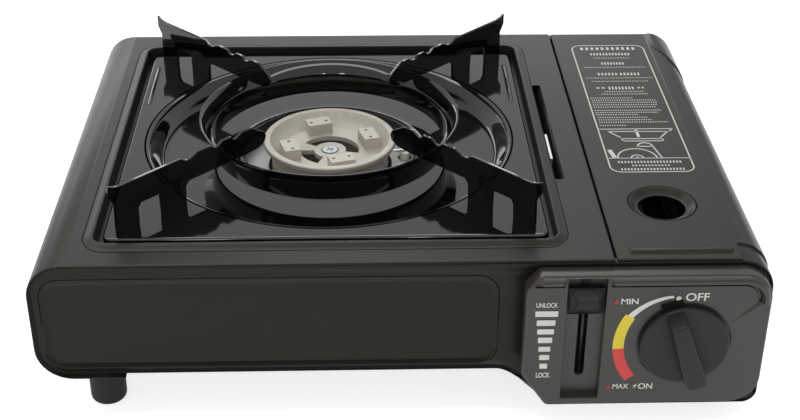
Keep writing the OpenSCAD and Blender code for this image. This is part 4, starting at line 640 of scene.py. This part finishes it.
# Behind a slanting line at its rear right corner the sheet stands proud again.
rear_rise, rear_start = 0.7, 80
slant_foot, slant = Vector((153.8, 120.8, 0)), Vector((0.845, 0.536, 0))
for place in (slant_foot, slant_foot + 0.5*slant):
    cut_at(bm, place, slant, [f for f in bm.faces if f.calc_center_median().x > bend_x
                              and f.calc_center_median().y > strip_y + 0.5], drop=False)
proud = [v for v in bm.verts if v.co.x > bend_x + 0.01 and v.co.y > rear_start
         and (v.co - slant_foot).dot(slant) > 0.49]
bent = [v for v in proud if v.co.z > casing_top - bend_r]
bmesh.ops.scale(bm, vec=(1 + rear_rise/bend_r, 1, 1 + rear_rise/bend_r), verts=bent,
                space=Matrix.Translation((-bend_x, 0, bend_r - casing_top)))
bmesh.ops.translate(bm, vec=(rear_rise, 0, 0), verts=[v for v in proud if v not in bent])
upright(bm)
lid = finished("lid_sheet", bm, casing_paint, "lid", "casing_paint", "cartridge_lid")
sheet_metal(lid, sheet)
dress(casing_paint, "lid_hinge_pins")

# Sill between the floor plate's edge and the lid, which leaves a narrow gap for water to drain.
bm = bmesh.new()
sill_x, sill_ends, sill_top = 159.6, (-109, 129), 8.2
line = [bm.verts.new((sill_x, y, sill_top)) for y in sill_ends]
drawn_out(bm, [bm.edges.new(line)], ((9, 0, -0.2), (0.9, 0, 0.7), (0.3, 0, 6.8)))
sill = finished("bay_sill", bm, floor_paint, "casing", "floor_paint")
sheet_metal(sill, sheet)

# Printed on the lid: a thin frame, rows of small marks in place of its words, and a pan on a
# burner. Each lies a hair above the paint.
notice_print = surface_finish("notice_print", tone(202, 202, 199), 0.5, bump=0.01, specular=0.3)
print_rise = 0.03


def printed_line(bm, points, width, closed=False):
    """Flat line of one width along points, facing up."""
    for a, b in zip(points, points[1:] + points[:1] if closed else points[1:]):
        a, b = Vector((*a, 0)), Vector((*b, 0))
        made = bmesh.ops.create_grid(bm, x_segments=1, y_segments=1, size=0.5)["verts"]
        bmesh.ops.scale(bm, vec=((b - a).length + width, width, 1), verts=made)
        bmesh.ops.rotate(bm, verts=made, cent=(0, 0, 0),
                         matrix=Matrix.Rotation(math.atan2(b.y - a.y, b.x - a.x), 3, "Z"))
        bmesh.ops.translate(bm, vec=(a + b)/2, verts=made)


def printed_marks(bm, x0, x1, y, height, pitch):
    """Row of small upright marks, facing up."""
    count = 2*max(int((x1 - x0)/pitch), 1) - 1
    made = bmesh.ops.create_grid(bm, x_segments=count, y_segments=1, size=0.5)["verts"]
    bmesh.ops.scale(bm, vec=(x1 - x0, height, 1), verts=made)
    bmesh.ops.translate(bm, vec=((x0 + x1)/2, y, 0), verts=made)
    row = sorted({f for v in made for f in v.link_faces}, key=lambda f: f.calc_center_median().x)
    bmesh.ops.delete(bm, geom=row[1::2], context="FACES")


def printed_ring(bm, x, y, r0, r1, start, end, steps=32):
    """Flat band of a circle between two angles, facing up."""
    pair = [bm.verts.new((x + r*math.cos(start), y + r*math.sin(start), 0)) for r in (r0, r1)]
    made = bmesh.ops.spin(bm, geom=[*pair, bm.edges.new(pair)], cent=(x, y, 0), axis=(0, 0, 1),
                          angle=end - start, steps=steps, use_duplicate=False)
    return made["geom_last"]


def facing_up(bm):
    for face in bm.faces:
        face.normal_update()
        if face.normal.z < 0:
            face.normal_flip()


notice = (107.0, -36, 150.4, 120.4)
notice_rows = (  # left, right, place along y, height of the marks, their pitch
    (112.4, 144.6, 115.4, 3.6, 2.7), (117.2, 140.2, 107.5, 3.0, 1.7), (118.4, 139, 102, 0.9, 1.3),
    (121.8, 134.8, 94.4, 3.2, 1.6), (111.1, 146.3, 89.2, 0.9, 1.3),
    (117.6, 128.6, 79.9, 3.2, 1.7), (130.4, 141.4, 79.9, 3.2, 1.7), (110.2, 148, 74.8, 0.9, 1.3),
    (112.7, 144.8, 70.4, 0.9, 1.3), (114.2, 118.6, 61.8, 1.8, 1.5), (120.9, 135, 61.4, 3.4, 1.7),
    (137.4, 140.8, 61.8, 1.8, 1.5), (117.8, 139.9, 57, 1.0, 1.3), (115.9, 141.8, 53.8, 1.0, 1.3),
    (108.9, 132.1, 48.8, 1.0, 1.2), (109.2, 144.5, 46, 1.0, 1.2), (109.1, 144.7, 43.2, 1.0, 1.2),
    (109, 144.2, 40.4, 1.0, 1.2), (109, 143, 37.6, 1.0, 1.2), (109.1, 145.3, 33.6, 1.0, 1.2),
    (109, 143.1, 30.9, 1.0, 1.2), (109, 131.7, 28.3, 1.0, 1.2), (109.5, 136.2, 25, 1.0, 1.2),
    (109.4, 138.1, 22.2, 1.0, 1.2), (109.3, 146.3, 19.4, 1.0, 1.2), (109.1, 122.8, 15.6, 1.0, 1.2),
    (112.2, 144.5, -25.2, 2.2, 1.6), (118.9, 138, -28.9, 1.6, 1.5), (112.6, 144.8, -32.8, 2.2, 1.6))
bm = bmesh.new()
frame_line = flat_loop(bm, *notice, 6, 0, 6)
stepped(bm, frame_line, [(0.75, 0)])
without(bm, [frame_line])
for row in notice_rows:
    printed_marks(bm, *row)
printed_line(bm, ((107.5, 11.4), (147.2, 11.4), (144.6, 8.2), (112.6, 8.6)), 0.8)
printed_line(bm, ((112.8, 8.2), (117.8, 1.8)), 0.8)
printed_line(bm, ((144, 8.2), (139.2, 1.8)), 0.8)
printed_line(bm, ((118.3, 0.4), (140, 0.2), (139.8, -2.4), (118.5, -2.2)), 0.8, closed=True)
printed_line(bm, ((127.4, 9.6), (127.6, 3)), 1.6)
printed_line(bm, ((107.2, -21), (150.2, -21.2)), 0.6)
printed_line(bm, ((110, -13), (111.4, -20.4)), 2.4)
printed_line(bm, ((133.2, -9), (135.6, -20.4)), 0.8)
printed_ring(bm, 123, -20.8, 9.6, 10.4, 0, math.pi)
printed_ring(bm, 123, -20.8, 2.7, 3.5, 0, math.pi)
printed_ring(bm, 123, -20.4, 0, 0.9, 0, math.pi, 12)
printed_ring(bm, 129.2, -8.2, 3.4, 4.3, -0.2, math.pi + 0.1)
printed_line(bm, ((125, -8.2), (133.4, -8.6)), 0.9)
bmesh.ops.remove_doubles(bm, verts=bm.verts, dist=0.0001)
facing_up(bm)
bmesh.ops.translate(bm, vec=(0, 0, casing_top + print_rise), verts=bm.verts)
finished("lid_notice", bm, notice_print, "lid", None)

# ---- Control panel ----
# Moulded black plastic with a fine spark-eroded skin, screwed on from behind. A lip runs along
# its upper edge, and the lock lever slides in a channel at its left.
panel_plastic = surface_finish("panel_plastic", tone(60, 57, 53), 0.36, spread=0.04, grain=2600,
                               bump=0.12, specular=0.5)
panel_face, panel_depth = -125, 8
hub, hub_hole_r, recess_r, recess_depth = (130, 47.5), 7.6, 22.1, 1.1
channel, lever_slot = (74.1, 15.5, 92.5, 83.7), (80.8, 26, 85.4, 83)
panel_outline = [(55.5, 29.5, 1.5), (55.5, 77, 1.5), (61.96, 85, 1.5), (168.5, 85, 14),
                 (168.5, 12.5, 14), (67.4, 12.5, 1.5)]
lip_left = [(73.1, 80.3, 0), (59.9, 80.3, 2.9), (62.7, 83.9, 0.8), (73.1, 83.9, 0)]
lip_right = [(94.0, 80.3, 0), (163.9, 80.3, 9.3), (163.9, 69, 0), (167.4, 69, 0),
             (167.4, 83.9, 12.8), (94.0, 83.9, 0)]
groove = [(94.2, 79.8, 0), (163.4, 79.8, 8.8), (163.4, 70, 0), (162.2, 70, 0),
          (162.2, 78.6, 7.6), (94.2, 78.6, 0)]
groove_left = [(60.5, 79.8, 0), (72.9, 79.8, 0), (72.9, 78.6, 0), (59.6, 78.6, 0)]
lip_rise = [(0.12, 0.5), (0.2, 0.55, -0.12), (0.28, 0.45, -0.25), (0.35, 0.3, -0.35),
            (0.3, 0.08, -0.3)]
bm = bmesh.new()
outline = flat_shape(bm, panel_outline, -panel_depth)
outline = pulled(bm, outline, (0, 0, panel_depth - 0.8))
outline = stepped(bm, outline, [(0.12, 0.36), (0.26, 0.28), (0.32, 0.14), (0.2, 0.02)])
rim = outline.edges[:]
without(bm, [outline])
for corners in (lip_left, lip_right):
    shape = flat_shape(bm, corners)
    rim += shape.edges[:]
    stepped(bm, shape, lip_rise)
for corners in (groove, groove_left):
    shape = flat_shape(bm, corners)
    rim += shape.edges[:]
    stepped(bm, shape, [(0.1, -0.35), (0.1, -0.45)])
shape = flat_disc(bm, *hub, recess_r, 0)
rim += shape.edges[:]
shape = stepped(bm, pulled(bm, shape, (0, 0, -recess_depth)), [(recess_r - hub_hole_r, 0)])
without(bm, [pulled(bm, shape, (0, 0, -1.8))])
shape = flat_loop(bm, *channel, 1.0, 0)
rim += shape.edges[:]
shape = pulled(bm, stepped(bm, shape, [(0.2, -0.08), (0.12, -0.3)]), (0, 0, -4.1))
shape = stepped(bm, shape, [(0.3, -0.02)])
floor_rim = shape.edges[:]
floor_z = shape.verts[0].co.z
without(bm, [shape])
shape = flat_loop(bm, *lever_slot, 2.25, floor_z)
floor_rim += shape.edges[:]
without(bm, [pulled(bm, stepped(bm, shape, [(0.15, -0.1)]), (0, 0, -1.4))])
for edges in (rim, floor_rim):
    bmesh.ops.triangle_fill(bm, edges=edges, use_beauty=True)
stood_up(bm, panel_face)
facing_front(bm)
finished("control_face", bm, panel_plastic, "casing", "panel_plastic", "control_panel")

# Printed on it: a scale of bars beside the lever, and the arc of the knob's positions.
white_print = surface_finish("white_print", tone(244, 242, 238), 0.5, bump=0.01, specular=0.3)
yellow_print = surface_finish("yellow_print", tone(250, 228, 74), 0.5, bump=0.01)
red_print = surface_finish("red_print", tone(234, 78, 78), 0.5, bump=0.01)
arc_centre = (130, 46.8)
arc_off, arc_min, arc_half, arc_max = (math.radians(a) for a in (105, 149, 184.5, 219.3))


def on_panel(name, bm, material):
    """Piece of print that lies a hair in front of the control panel."""
    bmesh.ops.remove_doubles(bm, verts=bm.verts, dist=0.0001)
    facing_up(bm)
    stood_up(bm, panel_face - print_rise)
    finished(name, bm, material, "casing", None)


def letters(text, x0, x1, z0, z1, name, material=white_print):
    """Printed word that fills a box on the control panel."""
    curve = bpy.data.curves.new(name, "FONT")
    curve.body = text
    curve.offset = 0.018
    holder = bpy.data.objects.new(name + "_text", curve)
    mesh = bpy.data.meshes.new_from_object(holder)
    bm = bmesh.new()
    bm.from_mesh(mesh)
    for data, thing in ((bpy.data.objects, holder), (bpy.data.curves, curve),
                        (bpy.data.meshes, mesh)):
        data.remove(thing)
    low = [min(v.co[k] for v in bm.verts) for k in (0, 1)]
    high = [max(v.co[k] for v in bm.verts) for k in (0, 1)]
    bmesh.ops.translate(bm, vec=(-low[0], -low[1], 0), verts=bm.verts)
    bmesh.ops.scale(bm, vec=((x1 - x0)/(high[0] - low[0]), (z1 - z0)/(high[1] - low[1]), 1),
                    verts=bm.verts)
    bmesh.ops.translate(bm, vec=(x0, z0, 0), verts=bm.verts)
    on_panel(name, bm, material)


bm = bmesh.new()
for x0, z0, x1, z1 in ((60.1, 62.9, 70.6, 66), (61, 57.9, 69.6, 61), (61.5, 53.1, 69.2, 56),
                       (62.1, 48.2, 68.7, 51.3), (62.6, 43.3, 68.1, 46.1),
                       (63.2, 38.5, 67.9, 41.4), (63.6, 33.5, 67.2, 36.4)):
    flat_loop(bm, x0, z0, x1, z1, 0.3, 0, 2)
flat_disc(bm, 125.3, 72.1, 1.3, 0, 24)
on_panel("panel_marks", bm, white_print)

bm = bmesh.new()
printed_ring(bm, *arc_centre, 28.9, 31.8, arc_off, arc_min, 22)
for v in bm.verts:
    out = v.co - Vector((*arc_centre, 0))
    turned = (arc_min - math.atan2(out.y, out.x))/(arc_min - arc_off)
    shrink = 1 - turned*(0.08 if out.length < 30 else 0.12)
    bmesh.ops.scale(bm, vec=(shrink, shrink, 1), verts=[v],
                    space=Matrix.Translation((-arc_centre[0], -arc_centre[1], 0)))
on_panel("panel_arc_white", bm, white_print)
for name, start, end, material in (("panel_arc_yellow", arc_min, arc_half, yellow_print),
                                   ("panel_arc_red", arc_half, arc_max, red_print)):
    bm = bmesh.new()
    printed_ring(bm, *arc_centre, 27.8, 33, start, end, 18)
    on_panel(name, bm, material)
flame_print = surface_finish("flame_print", tone(158, 66, 66), 0.5, bump=0.01)
for name, z0 in (("panel_flame_min", 69.6), ("panel_flame_max", 20.8)):
    bm = bmesh.new()
    flat_shape(bm, [(95.7, z0, 0.3), (97.9, z0, 0.3), (97.8, z0 + 1.6, 0.2), (96.8, z0 + 2.9, 0),
                    (95.8, z0 + 1.6, 0.2)])
    on_panel(name, bm, flame_print)
bm = bmesh.new()
flat_shape(bm, [(108.3, 21, 0), (110.6, 22.9, 0), (109.6, 22.9, 0), (110.6, 24.3, 0),
                (108.3, 22.5, 0), (109.3, 22.5, 0)])
on_panel("panel_spark", bm, white_print)
for text, x0, x1, z0, z1 in (("UNLOCK", 60.4, 70.2, 68, 70.6), ("LOCK", 62.2, 68.7, 28.3, 31.2),
                             ("OFF", 128.4, 139.3, 70.7, 75.1), ("MIN", 99, 106.9, 69.4, 72.5),
                             ("MAX", 98.9, 106.4, 21.1, 24), ("ON", 111, 117.8, 20.8, 24.2)):
    letters(text, x0, x1, z0, z1, "panel_word_" + text.lower())

# ---- Lock lever ----
# Glass-filled black plastic: a slab in the channel with a sloping thumb piece, and a stem that
# goes through the slot to the cartridge carriage.
lever_plastic = surface_finish("lever_plastic", tone(27, 28, 28), 0.4, spread=0.05, grain=2600,
                               bump=0.08, specular=0.25)
lever_back, lever_top, thumb_foot = -120.9, 77.6, (75.4, 64.2, 91, 76.6)
stem_size, stem_middle = (3.9, 15.5, 7.4), (83.1, 74.25, -3.7)
bm = bmesh.new()
slab = flat_loop(bm, 74.6, 63.5, 91.8, lever_top, 0.9, 0, 3)
bmesh.ops.reverse_faces(bm, faces=[slab])
slab = bmesh.ops.extrude_face_region(bm, geom=[slab])["geom"]
slab = next(g for g in slab if isinstance(g, bmesh.types.BMFace))
bmesh.ops.translate(bm, vec=(0, 0, 2.9), verts=slab.verts)
slab = stepped(bm, slab, [(0.15, 0.28), (0.25, 0.12)])
rim = slab.edges[:]
slab_z = slab.verts[0].co.z
without(bm, [slab])
thumb = flat_loop(bm, *thumb_foot, 2.4, slab_z, 4)
rim += thumb.edges[:]
thumb = pulled(bm, stepped(bm, thumb, [(0.2, 0.5)]), (0, 0, 5.7))
bmesh.ops.scale(bm, vec=(0.66, 0.36, 1), verts=thumb.verts,
                space=Matrix.Translation((-83.2, -73.2, 0)))
stepped(bm, thumb, [(0.2, 0.35), (0.3, 0.15)])
bmesh.ops.triangle_fill(bm, edges=rim, use_beauty=True)
stem = bmesh.ops.create_cube(bm, size=1)["verts"]
bmesh.ops.scale(bm, vec=stem_size, verts=stem)
bmesh.ops.translate(bm, vec=stem_middle, verts=stem)
stood_up(bm, lever_back)
bmesh.ops.recalc_face_normals(bm, faces=bm.faces)
finished("lock_slide", bm, lever_plastic, "lever", "black_plastic", "lock_lever")

# ---- Knob ----
# Moulded black plastic, pushed onto the valve's spindle: a disc with a grip bar across it, wider
# at its lower end, and a pointer tab at its edge, coloured near black as painted shade.
knob_rest = math.radians(19)
black_plastic = surface_finish("black_plastic", tone(40, 41, 41), 0.4, spread=0.05, grain=2600,
                               bump=0.08, specular=0.25)
# The pointer tab is a real part, but its near-black colour, darker than the knob, is painted shade,
# as of a recess.
tab_painted_shade = surface_finish("tab_painted_shade", tone(16, 14, 14), 0.6, bump=0.05, specular=0.1)


def spun(bm, profile, steps=96):
    """Turns a closed outline of (radius, height) round the upright axis."""
    verts = [bm.verts.new((r, 0, z)) for r, z in profile]
    edges = [bm.edges.new(pair) for pair in zip(verts, verts[1:] + verts[:1])]
    bmesh.ops.spin(bm, geom=verts + edges, cent=(0, 0, 0), axis=(0, 0, 1), angle=2*math.pi,
                   steps=steps, use_merge=True, use_duplicate=False)
    bmesh.ops.remove_doubles(bm, verts=bm.verts, dist=0.0005)


def on_spindle(name, bm, material, *stands_for):
    """Piece on the knob's axis: drawn lying flat, turned to OFF, then stood up."""
    bmesh.ops.rotate(bm, verts=bm.verts, cent=(0, 0, 0), matrix=Matrix.Rotation(knob_rest, 3, "Z"))
    bmesh.ops.translate(bm, vec=(*hub, 0), verts=bm.verts)
    bmesh.ops.recalc_face_normals(bm, faces=bm.faces)
    stood_up(bm, panel_face)
    finished(name, bm, material, "knob", "black_plastic" if stands_for else None, *stands_for)


bm = bmesh.new()
spun(bm, [(3.1, -6), (7, -6), (7, 0.6), (20.4, 0.6), (20.9, 0.9), (21, 1.4), (21, 2.6),
          (20.8, 3.1), (20.3, 3.45), (19.6, 3.6), (19, 3.6), (3.1, 3.6)])
grip = flat_shape(bm, [(-5.7, -20.2, 2.4), (5.7, -20.2, 2.4), (4.4, 19.4, 0.8), (-4.4, 19.4, 0.8)],
                  3.4)
grip = pulled(bm, grip, (0, 0, 8.6))
bmesh.ops.scale(bm, vec=(0.88, 0.925, 1), verts=grip.verts)
stepped(bm, grip, [(0.2, 0.5), (0.3, 0.35), (0.5, 0.15)])
on_spindle("gas_knob", bm, black_plastic, "control_knob")
# Pointer tab in the near-black colour that is painted shade.
bm = bmesh.new()
tab = flat_loop(bm, -5.2, 18.6, 5.2, 24.1, 0.6, 0.3, 3)
stepped(bm, pulled(bm, tab, (0, 0, 0.9)), [(0.2, 0.15)])
on_spindle("knob_pointer", bm, tab_painted_shade)

# ---- Feet ----
# Black rubber, each held by a screw through the floor plate. The left ones are taller, because
# the floor plate is higher there than under the cartridge.
dress(rubber, "foot_front_left", "foot_rear_left", "foot_front_right", "foot_rear_right")

# ---- Drip tray ----
# One deep-drawn sheet with black glass enamel: a level margin, a round basin, and a collar
# round the burner. It stands in the well on its turned-down edge.
enamel = surface_finish("black_enamel", tone(8, 8, 8), 0.05, spread=0.2, grain=120, bump=0.02,
                        specular=0.5, mottle=20)
burner, basin_r, tray_ribs = (-35.2, 12.6), 97.2, (-135.3, 64.9)
tray_half, tray_foot, tray_top = 104.7, 82, 86.5
bm = bmesh.new()
tray = flat_loop(bm, burner[0] - tray_half, burner[1] - tray_half, burner[0] + tray_half,
                 burner[1] + tray_half, 4.5, tray_foot, 8)
tray = pulled(bm, tray, (0, 0, tray_top - tray_foot - 1.2))
tray = stepped(bm, tray, [(0.1, 0.42), (0.25, 0.38), (0.4, 0.26), (0.55, 0.14), (0.8, 0)])
rim = tray.edges[:]
without(bm, [tray])
basin = flat_disc(bm, *burner, basin_r, tray_top, 160)
rim += basin.edges[:]
basin = stepped(bm, basin, [(1.0, 0), (0.8, -0.1), (0.8, -0.32), (0.7, -0.6), (0.6, -0.88),
                            (1.6, -2.5), (1.4, -2.2), (1.0, -1.5), (0.7, -0.85), (0.7, -0.55),
                            (0.8, -0.32), (0.8, -0.15), (0.7, -0.03), (4, 0), (25.6, 0), (3.6, 0),
                            (1.2, 0.15), (1.0, 0.6), (0.8, 0.8), (0.8, 0.5), (0.8, 0.3),
                            (1.0, 0.05), (0.8, -0.1)])
without(bm, [pulled(bm, basin, (0, 0, -0.8))])
for x in tray_ribs:
    rib = flat_loop(bm, x - 1.3, 49, x + 1.3, 98.5, 1.2, tray_top, 4)
    rim += rib.edges[:]
    stepped(bm, rib, [(0.3, 0), (0.35, 0.18), (0.4, 0.16)])
bmesh.ops.triangle_fill(bm, edges=rim, use_beauty=True)
upright(bm)
tray_piece = finished("tray", bm, enamel, "pan_support", "black_enamel", "drip_tray", crease=35)
sheet_metal(tray_piece, sheet)

# ---- Support ring and arms ----
# Pressed steel ring with a flared upper edge, on four stamped arms whose tabs are clenched under
# the tray. All of it is enamelled with the tray.
bm = bmesh.new()
spun(bm, [(60.6, 82.1), (61.0, 81.9), (61.5, 82.0), (61.75, 82.4), (62.5, 90), (62.8, 91.6),
          (63.3, 92.8), (67.7, 98.2), (68.0, 98.6), (67.9, 98.85), (67.5, 98.9), (66.8, 98.6),
          (62.2, 93.2), (61.7, 92.3), (61.4, 91), (60.55, 82.6)], 160)
bmesh.ops.translate(bm, vec=(*burner, 0), verts=bm.verts)
bmesh.ops.recalc_face_normals(bm, faces=bm.faces)
finished("pan_ring", bm, enamel, "pan_support", "black_enamel", "support_ring", crease=50)
for corner in ("front_left", "front_right", "rear_left", "rear_right"):
    softened("arm_" + corner, "support_arm_" + corner, 0.3, enamel, "pan_support",
             "black_enamel")

# ---- Size ----
# The box round the dressed stove, leaving out the floor and the cards, is measured.
low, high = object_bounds()
